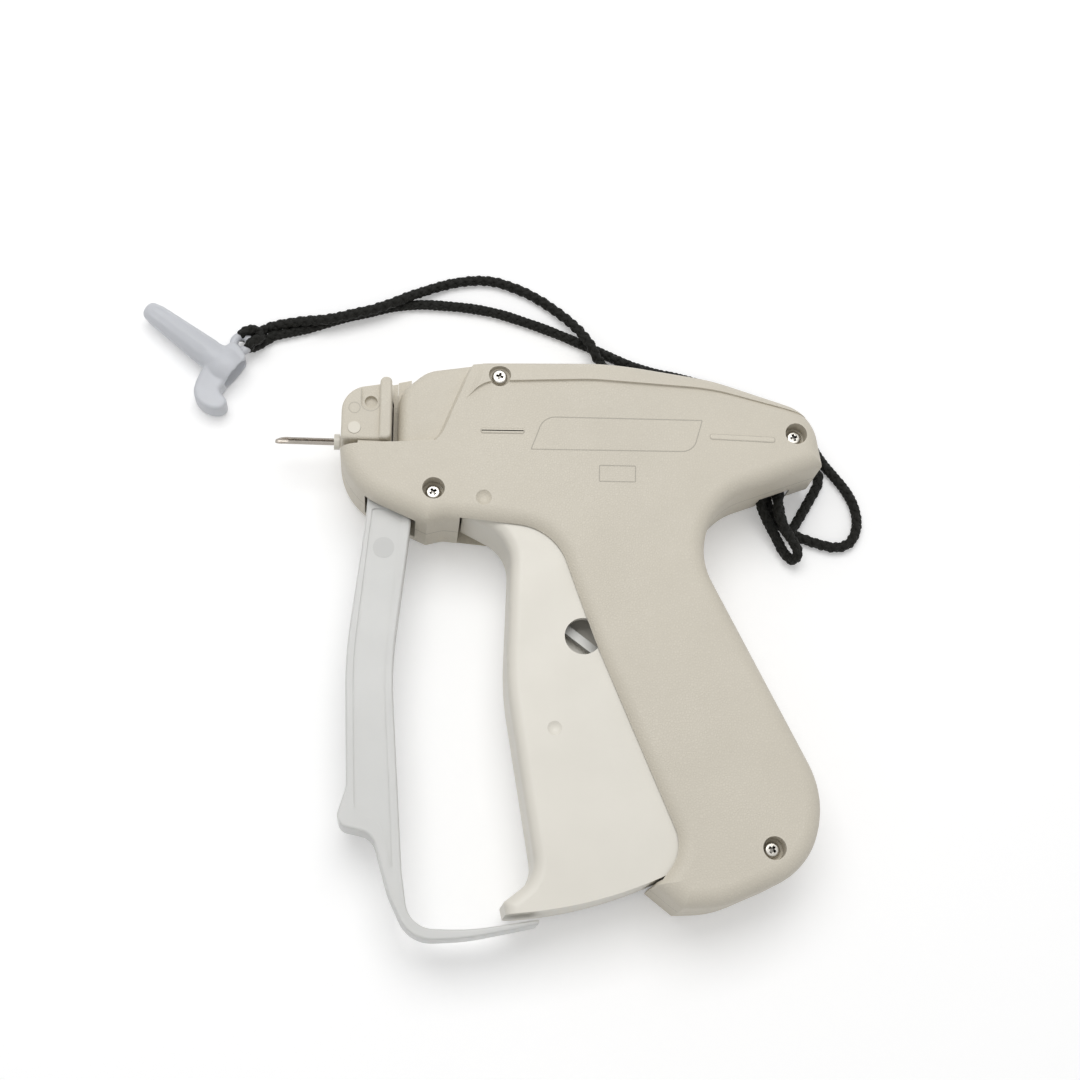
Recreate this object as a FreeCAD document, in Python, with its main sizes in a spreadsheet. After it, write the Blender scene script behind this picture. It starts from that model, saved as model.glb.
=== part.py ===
"""Garment tag attacher: a hand tool that pushes plastic tag fasteners through cloth.

The tool lies on its left side.  +X runs from the needle towards the back of the
body, +Y runs from the butt of the grip up to the crown of the body, and +Z runs up
through the thickness of the tool.  The origin is where the axis of the trigger pivot
meets the flat side that the tool rests on.  All sizes are in millimetres.
"""
import FreeCAD, Part
import math
import os
import re

Vector = FreeCAD.Vector
DOC = FreeCAD.newDocument("garment_tag_attacher")

# ---------------------------------------------------------------- driving sizes
SIZES = [
    # housing
    ("body_depth", 27.0, "thickness of the closed housing at its crown rim"),
    ("face_drop", 0.9, "main face below the crown rim"),
    ("cheek_drop", 2.7, "recessed cheek below the crown rim"),
    ("skin", 2.2, "thickness of the housing's two side faces"),
    ("wall", 2.6, "thickness of the housing's edge walls"),
    ("edge_round", 4.5, "radius of the long outer edges"),
    ("cheek_round", 3.0, "radius of the cheek's outer edge"),
    ("boss_radius", 3.0, "outside radius of a screw post"),
    ("pin_boss_radius", 3.5, "outside radius of a pin post"),
    ("pin_boss_gap", 2.0, "gap between a pin post and the drive arm"),
    ("rim_sink", 3.8, "root of the crown rim below its top"),
    ("head_back", -11.0, "back end of the solid head"),
    ("floor_high", 45.0, "a height beyond the crown, to which cutters reach"),
    ("ramp_width", 3.4, "width of the ramp between the cheek and the main face"),
    ("gate_x", -0.7, "place of the dimple at the near half's gate"),
    ("gate_y", -4.4, "place of the dimple at the near half's gate"),
    ("gate_radius", 2.1, "radius of the dimple at the near half's gate"),
    ("gate_depth", 1.1, "depth of the dimple at the near half's gate"),
    ("strip_gap", 0.2, "wall left on either side of the slot for the strip of fasteners"),
    ("head_reach", 40.0, "length of the block that fills the head, from its back end"),
    ("head_low", -30.0, "lower end of the block that fills the head, below the nose"),
    ("near_floor_back", 3.3, "reach of the near floor behind the cheek's front"),
    ("near_floor_low", 0.8, "reach of the near floor below the cheek"),
    ("under_cheek_back", 1.4, "reach of the cheek's backing behind the ramp"),
    ("under_cheek_low", 3.6, "reach of the cheek's backing below the ramp"),
    ("under_cheek_skin", 1.3, "thickness of the cheek's backing under its skin"),
    # screws
    ("screw_radius", 1.15, "radius of the screw's shank"),
    ("screw_head_radius", 2.05, "radius of the screw's head"),
    ("screw_head_height", 1.5, "height of the screw's head"),
    ("screw_foot", 8.6, "lower end of the screws above the rest face"),
    ("screw_gap", 0.2, "clearance round a screw in the near half"),
    ("screw_dome", 0.7, "radius of the screw head's rounded edge"),
    ("well_wall", 1.2, "wall of the post round a screw well"),
    ("screw_well_radius", 2.95, "radius of the well that hides a screw head"),
    ("well_depth", 5.4, "depth of a screw well below the crown rim"),
    ("crown_well_depth", 2.6, "depth of the shallow well in the crown rim"),
    ("recess_width", 0.55, "width of the cross recess in a screw head"),
    ("recess_reach", 1.25, "reach of the cross recess from the screw's axis"),
    ("recess_depth", 0.9, "depth of the cross recess"),
    # fits
    ("pin_gap", 0.05, "running clearance between a pin and its bore"),
    ("side_gap", 0.5, "clearance beside a moving part"),
    ("slide_gap", 0.15, "clearance between the slider and its ribs"),
    ("link_gap", 0.4, "clearance round the open pivot of the linkage"),
    # trigger
    ("trigger_wall", 2.0, "thickness of the trigger's sides"),
    ("trigger_front", 2.5, "thickness of the trigger's front"),
    ("trigger_round", 3.2, "radius of the trigger's front edges"),
    ("trigger_reach", 110.4, "distance from the pivot to the trigger's bottom edge"),
    ("trigger_hub_radius", 4.2, "radius of the tube round the trigger's pivot"),
    ("trigger_head_radius", 6.0, "radius of the trigger's head"),
    ("pivot_radius", 2.0, "radius of the trigger's pivot pin"),
    ("floor_gap", 0.6, "gap between the trigger's bottom edge and the grip's lip"),
    ("window_x", 25.3, "place of the round window in the trigger's near side"),
    ("window_y", -40.3, "place of the round window in the trigger's near side"),
    ("window_radius", 4.8, "radius of the round window"),
    ("dimple_x", 17.9, "place of the dimple in the trigger's near side"),
    ("dimple_y", -64.3, "place of the dimple in the trigger's near side"),
    ("dimple_radius", 1.85, "radius of the dimple"),
    ("dimple_depth", 0.7, "depth of the dimple"),
    ("pin_cover", 0.9, "wall left over the blind end of the link's front pin"),
    ("web_back", 31.5, "back end of the web inside the trigger"),
    ("web_high", -34.0, "upper end of the web inside the trigger"),
    ("web_low", -50.0, "lower end of the web inside the trigger"),
    ("web_thickness", 1.4, "thickness of the web inside the trigger"),
    ("web_gap", 0.4, "gap between the trigger's web and the link"),
    ("soft_back", 14.5, "back end of the trigger's soft front edges"),
    ("soft_high", -9.5, "upper end of the trigger's soft front edges"),
    ("soft_low", -107.6, "lower end of the trigger's soft front edges"),
    # linkage
    ("arm_x", 47.5, "place of the drive arm's pin"),
    ("arm_y", -33.6, "place of the drive arm's pin"),
    ("arm_pin_radius", 1.5, "radius of the drive arm's pin"),
    ("arm_thickness", 4.0, "thickness of the drive arm"),
    ("arm_width", 7.0, "width of the drive arm at its hub"),
    ("arm_swing", 20.9, "angle of the drive arm from upright at rest, in degrees"),
    ("arm_tip", 55.5, "length of the drive arm from its pin to its fork's end"),
    ("fork_width", 8.2, "width of the drive arm's fork"),
    ("fork_root", 45.0, "distance from the arm's pin to the root of its fork"),
    ("trigger_pin_x", 14.0, "place of the link's pin in the trigger"),
    ("trigger_pin_y", -31.5, "place of the link's pin in the trigger"),
    ("leg_pin_x", 45.8, "place of the link's pin in the drive arm"),
    ("leg_pin_y", -41.7, "place of the link's pin in the drive arm"),
    ("knee_x", 29.0, "bend of the link"),
    ("knee_y", -43.0, "bend of the link"),
    ("link_pin_radius", 1.2, "radius of the link's two pins"),
    ("link_thickness", 2.4, "thickness of the link"),
    ("link_width", 2.2, "width of the link between its eyes"),
    ("link_eye_radius", 2.9, "radius of the link's eyes"),
    ("layer_gap", 0.5, "gap between the link and the drive arm"),
    ("front_pin_sink", 0.3, "foot of the link's front pin above the trigger's side"),
    ("rear_pin_reach", 0.6, "reach of the link's rear pin beyond the link"),
    # slider and push rod
    ("needle_y", 14.4, "height of the needle's axis"),
    ("slider_x", 65.6, "place of the slider's pin at rest"),
    ("slider_height", 7.0, "height of the slider"),
    ("slider_half_width", 8.8, "half the slider's width across the tool"),
    ("slider_half_slot", 6.6, "half the length of the slider's slot"),
    ("slider_bridge", 2.5, "thickness of the slider's two bridges"),
    ("slider_pin_radius", 1.5, "radius of the slider's pin"),
    ("slider_pin_reach", 5.0, "half the length of the slider's pin"),
    ("fork_gap", 0.38, "clearance of the slider's pin in the fork"),
    ("slot_gap", 0.4, "clearance beside the drive arm in the slider's slot"),
    ("rib_thickness", 1.6, "thickness of the ribs that guide the slider"),
    ("rib_front", 18.0, "front end of the guide ribs"),
    ("rib_back", 77.0, "back end of the guide ribs"),
    ("rib_space", 3.5, "distance from the split of the housing to a guide rib"),
    ("rod_radius", 0.45, "radius of the push rod"),
    ("rod_front", -19.4, "front end of the push rod at rest"),
    ("rod_bore", 1.0, "radius of the passage for the push rod"),
    # needle
    ("needle_radius", 0.95, "outside radius of the needle"),
    ("needle_shank", 1.7, "width of the needle's square shank inside its hub"),
    ("needle_bore", 0.62, "radius of the needle's bore"),
    ("needle_slot", 0.6, "width of the slot along the needle"),
    ("needle_tip", -56.0, "tip of the needle"),
    ("needle_root", -31.0, "inner end of the needle"),
    ("needle_point", 5.0, "length of the needle's slanted point"),
    ("hub_radius", 1.6, "radius of the needle's moulded hub"),
    ("hub_back", -30.4, "inner end of the needle's hub"),
    ("flange_radius", 2.1, "radius of the hub's flange"),
    ("flange_length", 1.5, "length of the hub's flange"),
    # needle lock
    ("lock_rise", 4.5, "underside of the needle lock above the split"),
    ("lock_drop", 1.5, "top of the needle lock below the crown rim"),
    ("lock_gap", 0.3, "gap under the needle lock"),
    ("lock_pin_x", -34.8, "place of the needle lock's pin"),
    ("lock_pin_y", 14.1, "place of the needle lock's pin"),
    ("lock_pin_radius", 1.65, "radius of the needle lock's pin"),
    ("lock_pin_gap", 0.8, "gap between the needle lock's pin and the needle's hub"),
    ("lock_pin_head", 0.2, "height of the pin's end above the needle lock"),
    ("lock_round", 0.9, "radius of the needle lock's top edge"),
    ("ledge_start", 1.0, "start of the ledge under the needle lock behind the lock's pin"),
    ("ledge_gap", 0.35, "gap between the ledge and the needle lock's lower edge"),
    ("ledge_drop", 0.3, "top of the ledge below the top of the needle lock"),
    ("fin_round", 0.7, "radius of the fin's top edge"),
    ("groove_length", 8.5, "length of the groove in the needle lock"),
    ("groove_x", -30.85, "middle of the groove in the needle lock"),
    ("groove_y", 21.5, "lower end of the groove in the needle lock"),
    ("groove_radius", 2.4, "radius of the groove in the needle lock"),
    ("groove_depth", 0.7, "depth of the groove in the needle lock"),
    ("dent_x", -30.6, "place of the round dent in the needle lock"),
    ("dent_y", 21.7, "place of the round dent in the needle lock"),
    ("dent_radius", 1.7, "radius of the round dent"),
    ("dent_depth", 1.3, "depth of the round dent"),
    # clip guide, cutter and feed
    ("guide_left", -28.3, "front side of the clip guide"),
    ("guide_right", -22.5, "back side of the clip guide"),
    ("guide_low", 4.2, "lower end of the clip guide"),
    ("guide_high", 31.0, "height to which the clip guide would reach beyond the head's outline"),
    ("guide_depth", 5.2, "depth of the clip guide"),
    ("guide_wall", 1.0, "thickness of the clip guide"),
    ("guide_sink", 0.3, "top of the clip guide below the split"),
    ("guide_lead", 3.0, "room for the strip of fasteners above the clip guide"),
    ("guide_roof", 1.2, "room for the strip of fasteners above the split"),
    ("blade_x", -29.6, "front side of the cutter blade"),
    ("blade_thickness", 0.6, "thickness of the cutter blade"),
    ("blade_low", 15.7, "lower edge of the cutter blade"),
    ("blade_high", 18.7, "upper edge of the cutter blade"),
    ("blade_reach", 2.0, "height of the cutter blade above the split"),
    ("blade_sink", 3.0, "depth of the cutter blade below the split"),
    ("wheel_x", -17.4, "place of the feed wheel"),
    ("wheel_y", 6.3, "place of the feed wheel"),
    ("wheel_radius", 4.3, "radius of the feed wheel"),
    ("wheel_tooth_depth", 1.0, "depth of the feed wheel's notches"),
    ("wheel_notch", 0.75, "radius of the feed wheel's notches"),
    ("wheel_teeth", 12.0, "number of notches in the feed wheel"),
    ("wheel_thickness", 6.0, "thickness of the feed wheel"),
    ("wheel_pin_radius", 1.2, "radius of the feed wheel's pin"),
    ("wheel_pin_reach", 7.5, "half the length of the feed wheel's pin"),
    ("wheel_room", 0.6, "clearance round the feed wheel"),
    ("pawl_x", -7.2, "place of the feed pawl's pin"),
    ("pawl_y", 8.4, "place of the feed pawl's pin"),
    ("pawl_pin_radius", 0.9, "radius of the feed pawl's pin"),
    ("pawl_thickness", 3.0, "thickness of the feed pawl"),
    ("pawl_boss_radius", 1.8, "radius of the feed pawl's eye"),
    ("pawl_pin_reach", 9.0, "upper end of the feed pawl's pin above the split"),
    ("pawl_arm_radius", 0.8, "radius of the feed pawl's two arms"),
    ("pawl_finger_x", -4.9, "place of the feed pawl's finger, from its pin"),
    ("pawl_finger_y", -1.0, "place of the feed pawl's finger, from its pin"),
    ("pawl_tail_x", 3.0, "place of the feed pawl's tail, from its pin"),
    ("pawl_tail_y", -2.1, "place of the feed pawl's tail, from its pin"),
    ("pawl_room_front", 7.0, "room for the feed pawl in front of its pin"),
    ("pawl_room_low", 3.4, "room for the feed pawl below its pin"),
    ("pawl_room_high", 2.2, "room for the feed pawl above its pin"),
    ("pawl_room_side", 0.7, "clearance on either side of the feed pawl"),
    ("feed_leaf_front", -20.9, "front end of the feed spring"),
    ("feed_leaf_back", -12.2, "back end of the feed spring"),
    ("feed_leaf_thickness", 0.4, "thickness of the feed spring"),
    ("feed_leaf_gap", 0.9, "gap between the feed spring and the feed wheel"),
    ("feed_leaf_reach", 1.3, "half the width of the feed spring"),
    ("feed_bump_radius", 0.5, "radius of the feed spring's bump"),
    ("feed_room_low", 4.1, "lower side of the feed spring's room above the wheel's pin"),
    ("feed_room_high", 6.3, "upper side of the feed spring's room above the wheel's pin"),
    ("feed_room_side", 0.3, "clearance on either side of the feed spring"),
    # return spring
    ("spring_wire", 0.6, "radius of the return spring's wire"),
    ("spring_radius", 5.2, "radius of the return spring's coil"),
    ("spring_pitch", 1.15, "pitch of the return spring's coil"),
    ("spring_turns", 5.0, "turns of the return spring's coil"),
    ("spring_leg_wire", 0.5, "radius of the return spring's legs"),
    ("spring_leg", 15.0, "length of the return spring's rear leg"),
    ("spring_foot_x", 12.4, "lower end of the return spring's front leg"),
    ("spring_foot_y", -16.0, "lower end of the return spring's front leg"),
    ("spring_post_x", 14.0, "place of the post that holds the rear leg"),
    ("spring_post_y", 7.3, "place of the post that holds the rear leg"),
    ("spring_post_radius", 1.4, "radius of the post that holds the rear leg"),
    # small clearances and lengths of the linkage
    ("spring_room", 0.3, "clearance round the return spring"),
    ("arm_hub_rim", 0.3, "reach of the drive arm's hub beyond its posts"),
    ("arm_hub_rise", 1.5, "height of the drive arm's hub above its faces"),
    ("fork_slot_start", 2.5, "start of the fork's slot beyond its root"),
    ("rod_seat", 1.5, "depth of the push rod's seat in the slider"),
    ("flange_gap", 0.2, "gap between the hub's flange and the nose"),
    ("needle_slant_angle", 20.8, "angle of the needle's slanted point, in degrees"),
    ("needle_slant_sink", 1.9, "root of the slant below the split, in needle radii"),
    # guard
    ("guard_depth", 12.0, "width of the guard across the tool"),
    ("guard_skin", 1.8, "thickness of the guard's near face between its rims"),
    ("guard_sink", 0.6, "depth of the guard's near face below its rims"),
    ("guard_round", 0.6, "radius of the guard's long edges"),
    ("guard_pin_x", -25.6, "place of the pin that holds the guard"),
    ("guard_pin_y", -2.2, "place of the pin that holds the guard"),
    ("guard_pin_radius", 1.8, "radius of the pin that holds the guard"),
    ("guard_gap", 0.8, "clearance round the guard in the nose"),
    ("guard_pin_reach", 8.5, "half the length of the pin that holds the guard"),
    # stop pad and lanyard eye
    ("pad_place", 58.0, "distance of the rubber stop from the top of the grip"),
    ("pad_thickness", 2.0, "thickness of the rubber stop for the trigger"),
    ("pad_width", 10.0, "width of the rubber stop across the tool"),
    ("pad_length", 12.0, "length of the rubber stop along the grip"),
    ("eye_thickness", 1.8, "thickness of the lanyard's eye plate"),
    ("eye_front", 75.6, "front end of the lanyard's eye plate"),
    ("eye_back", 84.2, "back end of the lanyard's eye plate"),
    ("eye_y", 6.4, "face of the lanyard's eye plate"),
    ("eye_top", 9.2, "top of the lanyard's eye opening"),
    # lanyard and needle cap
    ("cord_diameter", 3.0, "diameter of the braided lanyard"),
    ("cap_mouth_x", -69.0, "centre of the cap's mouth"),
    ("cap_mouth_y", 36.0, "centre of the cap's mouth"),
    ("cap_angle", 143.6, "direction of the cap from its mouth, in degrees from +X"),
    ("cap_axis", 4.6, "height of the cap's axis above the rest face"),
    ("cap_length", 28.2, "length of the cap to the centre of its round tip"),
    ("cap_tip_radius", 3.2, "radius of the cap at its tip"),
    ("cap_base_radius", 4.0, "radius of the cap's tube at its base"),
    ("cap_bore", 1.3, "radius of the cap's bore"),
    ("cap_bore_depth", 26.0, "depth of the cap's bore"),
    ("cap_cup_width", 5.6, "thickness of the cap's cup along its axis"),
    ("cap_cup_near", 6.6, "reach of the cap's cup towards its ring"),
    ("cap_cup_tab", 8.4, "reach of the cap's cup towards its tab"),
    ("cap_cup_height", 8.4, "height of the cap's cup"),
    ("cap_mouth_radius", 3.2, "radius of the cap's mouth"),
    ("cap_mouth_depth", 2.6, "depth of the cap's mouth"),
    ("cap_tab_radius", 4.4, "radius of the cap's tab"),
    ("cap_tab_height", 3.4, "height of the cap's tab"),
    ("cap_ring_radius", 2.7, "radius of the lanyard ring on the cap"),
    ("cap_ring_wire", 0.9, "radius of the lanyard ring's wire"),
    ("cap_ring_back", 1.8, "centre of the lanyard ring behind the middle of the cup"),
    ("cap_tab_front", 1.2, "centre of the cap's tab in front of the middle of the cup"),
    ("cap_tab_in", 0.1, "centre of the cap's tab inside the cup's reach"),
    ("hitch_radius", 2.5, "radius of the lanyard's turn round the cap's ring"),
    ("hitch_cord", 1.4, "radius of the pulled lanyard in that turn"),
    ("hitch_knot_length", 3.4, "length of the lanyard's knot along the strands"),
    ("hitch_knot_width", 6.3, "width of the lanyard's knot across the strands"),
    ("hitch_knot_height", 5.4, "height of the lanyard's knot"),
    ("hitch_knot_low", 0.2, "underside of the lanyard's knot above the rest face"),
    ("hitch_knot_round", 1.0, "radius of the lanyard's knot's edges"),
]

# corners of the outlines: name, x, y, radius
CORNERS = [
    # nose and trigger opening of the housing
    ("nose_chin", -38.6, -0.4, 18.0),
    ("nose_keel", -15.2, -10.9, 0.0),
    ("gullet_front", -10.8, -9.7, 5.0),
    ("trigger_brow", 17.5, -12.3, 14.0),
    ("grip_throat", 27.6, -41.5, 40.0),
    ("grip_shin", 49.3, -94.3, 15.0),
    ("lip_front", 42.6, -103.1, 0.0),
    ("lip_heel", 49.6, -108.7, 0.0),
    # butt and back of the grip
    ("butt_toe", 59.5, -108.3, 30.0),
    ("butt_heel", 81.5, -99.0, 20.0),
    ("butt_back", 86.8, -80.5, 25.0),
    ("grip_web", 50.3, -6.5, 18.5),
    # back and crown of the body
    ("rear_low", 90.2, 8.4, 0.0),
    ("rear_crown", 88.0, 23.2, 12.0),
    ("crown_rear", 60.5, 32.0, 60.0),
    ("crown_middle", 33.0, 35.9, 90.0),
    ("crown_front", -2.0, 34.7, 40.0),
    ("crown_low", -14.8, 32.4, 12.0),
    ("head_saddle", -23.3, 30.3, 4.0),
    ("head_front", -38.4, 25.6, 12.0),
    # ramp between the cheek and the main face
    ("ramp_top", -3.8, 38.0, 0.0),
    ("ramp_middle", -13.3, 13.8, 8.0),
    ("ramp_foot", -16.2, 10.9, 0.0),
    ("recess_brow", -45.0, 8.8, 0.0),
    ("recess_corner", -45.0, 42.0, 0.0),
    ("recess_crown", -3.8, 42.0, 0.0),
    # crown rim, inner edge
    ("rim_front", -5.8, 23.0, 0.0),
    ("rim_screw", -1.0, 28.0, 9.0),
    ("rim_middle", 27.8, 29.6, 60.0),
    ("rim_rear", 60.0, 28.0, 60.0),
    ("rim_end", 92.0, 20.4, 0.0),
    ("rim_outside_rear", 92.0, 42.0, 0.0),
    ("rim_outside_front", 2.0, 42.0, 0.0),
    # cheek
    ("cheek_top", -23.3, 25.4, 8.0),
    ("cheek_crown", -16.0, 32.0, 9.0),
    ("cheek_back", 2.0, 35.0, 0.0),
    ("cheek_inside", 2.0, 8.8, 0.0),
    ("cheek_low", -23.3, 8.8, 0.0),
    # needle lock and its fin
    ("lock_toe", -38.2, 11.0, 0.8),
    ("lock_heel", -26.2, 11.0, 0.5),
    ("lock_back", -26.2, 27.2, 0.5),
    ("lock_front", -38.3, 25.0, 12.0),
    ("fin_toe", -28.3, 11.0, 0.0),
    ("fin_heel", -25.2, 11.0, 1.4),
    ("fin_top", -25.2, 28.4, 1.5),
    ("fin_front", -28.3, 28.2, 1.5),
    # trigger
    ("trigger_nose", -5.9, -7.4, 0.0),
    ("trigger_cheek", 6.9, -14.1, 11.0),
    ("trigger_waist", 5.6, -52.0, 80.0),
    ("trigger_curl", 13.5, -101.0, 9.0),
    ("trigger_toe", 5.3, -107.3, 0.8),
    ("trigger_sole", 6.2, -111.5, 0.0),
    ("trigger_under", 30.0, -118.0, 0.0),
    ("trigger_heel", 58.0, -104.0, 0.0),
    ("trigger_spine_low", 54.0, -90.0, 8.0),
    ("trigger_spine", 32.5, -42.0, 30.0),
    ("trigger_neck", 16.6, -10.0, 6.0),
    ("trigger_crown", 5.0, 4.6, 4.0),
    ("trigger_temple", -6.0, 3.0, 4.0),
    # opening in the housing's walls for the trigger
    ("slot_front_low", -6.8, -16.0, 0.0),
    ("slot_front", -6.8, -5.0, 0.0),
    ("slot_top", 22.0, -5.0, 0.0),
    ("slot_throat", 36.0, -42.0, 0.0),
    ("slot_shin", 56.0, -88.0, 0.0),
    ("slot_heel", 62.0, -112.0, 0.0),
    ("slot_low", 20.0, -118.0, 0.0),
    # guard
    ("guard_root_left", -30.6, 1.6, 2.0),
    ("guard_neck_left", -31.2, -10.0, 20.0),
    ("guard_waist_left", -35.3, -46.0, 120.0),
    ("guard_bump_top", -33.9, -79.0, 8.0),
    ("guard_bump", -36.8, -88.6, 3.2),
    ("guard_shoulder", -27.2, -90.6, 5.0),
    ("guard_shin_left", -23.0, -105.0, 20.0),
    ("guard_heel_left", -17.4, -116.6, 9.0),
    ("guard_sole", -3.0, -115.9, 60.0),
    ("guard_tail_low", 14.2, -112.4, 0.4),
    ("guard_tail_high", 14.6, -111.1, 0.4),
    ("guard_instep", -3.0, -113.9, 60.0),
    ("guard_heel_right", -17.6, -113.4, 7.0),
    ("guard_shin_right", -19.6, -100.0, 30.0),
    ("guard_waist_right", -23.4, -48.0, 110.0),
    ("guard_neck_right", -19.3, -9.0, 20.0),
    ("guard_root_right", -20.4, 1.6, 2.0),
    # hollow between the guard's rims
    ("pocket_top_left", -29.6, -6.0, 0.8),
    ("pocket_waist_left", -33.4, -47.0, 120.0),
    ("pocket_low_left", -31.8, -85.4, 3.0),
    ("pocket_calf", -25.6, -87.4, 4.0),
    ("pocket_ankle", -21.7, -101.5, 0.3),
    ("pocket_waist_right", -25.2, -50.0, 110.0),
    ("pocket_top_right", -21.4, -6.0, 0.8),
    # opening in the nose for the guard
    ("mouth_left", -31.4, 2.4, 0.0),
    ("mouth_right", -18.8, 2.4, 0.0),
    ("mouth_low_right", -17.9, -16.0, 0.0),
    ("mouth_low_left", -32.2, -16.0, 0.0),
    # drive arm
    ("arm_elbow", 51.5, 1.0, 0.0),
    # hollow behind the trigger's front
    ("hollow_heel", 80.0, -104.0, 0.0),
    ("hollow_spine", 60.0, -10.0, 0.0),
    ("hollow_crown", 24.0, 12.0, 0.0),
    ("hollow_temple", -9.0, 12.0, 0.0),
]

SCREWS = [
    ("crown_screw", 3.2, 29.8, "crown_well_depth"),
    ("nose_screw", -13.8, -2.2, "well_depth"),
    ("rear_screw", 82.7, 16.1, "well_depth"),
    ("butt_screw", 72.3, -94.0, "well_depth"),
]


def fill_sheet():
    """Write every driving size into one spreadsheet, each cell with its alias."""
    sheet = DOC.addObject("Spreadsheet::Sheet", "Sizes")
    rows = list(SIZES)
    for name, x, y, radius in CORNERS:
        rows.append((name + "_x", x, "corner of an outline"))
        rows.append((name + "_y", y, "corner of an outline"))
        rows.append((name + "_round", radius, "radius at that corner"))
    for name, x, y, _depth in SCREWS:
        rows.append((name + "_x", x, "axis of a screw"))
        rows.append((name + "_y", y, "axis of a screw"))
    for row, (alias, value, meaning) in enumerate(rows, start=1):
        sheet.set("A%d" % row, meaning)
        sheet.set("B%d" % row, str(value))
        sheet.setAlias("B%d" % row, alias)
    DOC.recompute()
    return sheet, [alias for alias, _value, _meaning in rows]


SHEET, ALIASES = fill_sheet()
ALIAS_WORD = re.compile(r"\b(" + "|".join(sorted(ALIASES, key=len, reverse=True)) + r")\b")

# heights through the thickness, as formulas of the sheet
SPLIT = "body_depth / 2"
FACE = "body_depth - face_drop"
CHEEK = "body_depth - cheek_drop"
CAVITY_LOW = "skin"
CAVITY_HIGH = "(body_depth - face_drop - skin)"
TRIGGER_LOW = "(skin + side_gap)"
TRIGGER_HIGH = "(body_depth - face_drop - skin - side_gap)"
ARM_LOW = "(body_depth / 2 - arm_thickness / 2)"
ARM_HIGH = "(body_depth / 2 + arm_thickness / 2)"
LOCK_LOW = "(body_depth / 2 + lock_rise)"
LOCK_HIGH = "(body_depth - lock_drop)"
LOCK_PIN_LOW = "(body_depth / 2 + hub_radius + lock_pin_gap)"


def size(alias):
    """One driving size as a number."""
    return float(SHEET.get(alias))


# ---------------------------------------------------------------- modelling helpers
def bind(obj, prop, formula):
    """Tie a property to the spreadsheet; bare aliases in the formula are looked up there."""
    obj.setExpression(prop, ALIAS_WORD.sub(r"Sizes.\1", formula))


def place(obj, x="0", y="0", z="0"):
    bind(obj, "Placement.Base.x", x)
    bind(obj, "Placement.Base.y", y)
    bind(obj, "Placement.Base.z", z)
    return obj


def cylinder(name, radius, low, high, x="0", y="0"):
    """A cylinder along Z between two heights."""
    obj = DOC.addObject("Part::Cylinder", name)
    bind(obj, "Radius", radius)
    bind(obj, "Height", "(%s) - (%s)" % (high, low))
    return place(obj, x, y, low)


def cylinder_along_x(name, radius, start, end, y, z):
    """A cylinder along X between two places."""
    obj = DOC.addObject("Part::Cylinder", name)
    obj.Placement = FreeCAD.Placement(Vector(), FreeCAD.Rotation(Vector(0, 1, 0), 90))
    bind(obj, "Radius", radius)
    bind(obj, "Height", "(%s) - (%s)" % (end, start))
    return place(obj, start, y, z)


def box(name, x_span, y_span, z_span):
    """A box between two places along each axis."""
    obj = DOC.addObject("Part::Box", name)
    bind(obj, "Length", "(%s) - (%s)" % (x_span[1], x_span[0]))
    bind(obj, "Width", "(%s) - (%s)" % (y_span[1], y_span[0]))
    bind(obj, "Height", "(%s) - (%s)" % (z_span[1], z_span[0]))
    return place(obj, x_span[0], y_span[0], z_span[0])


def fuse(name, *shapes):
    obj = DOC.addObject("Part::MultiFuse", name)
    obj.Shapes = list(shapes)
    return obj


def cut(name, base, *tools):
    """The base less one tool or several."""
    tool = tools[0] if len(tools) == 1 else fuse(name + "_tools", *tools)
    obj = DOC.addObject("Part::Cut", name)
    obj.Base = base
    obj.Tool = tool
    return obj


def common(name, first, second):
    obj = DOC.addObject("Part::Common", name)
    obj.Base = first
    obj.Tool = second
    return obj


def corners(*names):
    """Look up outline corners in the sheet: a point and the radius at it."""
    return [
        (Vector(size(name + "_x"), size(name + "_y"), 0), size(name + "_round"))
        for name in names
    ]


def rounded_edges(points):
    """Lines and tangent arcs round a closed polygon of (point, radius) corners."""
    starts = []
    arcs = []
    count = len(points)
    for index, (corner, radius) in enumerate(points):
        before = corner - points[index - 1][0]
        after = points[(index + 1) % count][0] - corner
        shorter = min(before.Length, after.Length)
        before.normalize()
        after.normalize()
        half_turn = before.getAngle(after) / 2
        reach = min(radius * math.tan(half_turn), 0.49 * shorter)
        if reach < 0.01:
            starts.append((corner, corner))
            arcs.append(None)
            continue
        radius = reach / math.tan(half_turn)
        towards = (after - before).normalize()
        middle = corner + towards * (radius / math.cos(half_turn) - radius)
        entry = corner - before * reach
        leave = corner + after * reach
        starts.append((entry, leave))
        arcs.append(Part.Arc(entry, middle, leave))
    edges = []
    for index in range(count):
        if arcs[index] is not None:
            edges.append(arcs[index])
        here = starts[index][1]
        there = starts[(index + 1) % count][0]
        if (there - here).Length > 1e-6:
            edges.append(Part.LineSegment(here, there))
    return edges


def outline(name, points):
    """A sketch of a rounded polygon."""
    sketch = DOC.addObject("Sketcher::SketchObject", name)
    sketch.addGeometry(rounded_edges(points), False)
    return sketch


def about_split(reach):
    """The two heights at one distance below and above the split of the housing."""
    return "body_depth / 2 - (%s)" % reach, "body_depth / 2 + (%s)" % reach


def prism(name, points, low, high):
    """A rounded polygon raised between two heights."""
    sketch = outline(name + "_outline", points)
    bind(sketch, "Placement.Base.z", low)
    return raised(name, sketch, low, high)


def raised(name, base, low, high):
    obj = DOC.addObject("Part::Extrusion", name)
    obj.Base = base
    obj.DirMode = "Custom"
    obj.Dir = Vector(0, 0, 1)
    obj.Solid = True
    bind(obj, "LengthFwd", "(%s) - (%s)" % (high, low))
    return obj


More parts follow.
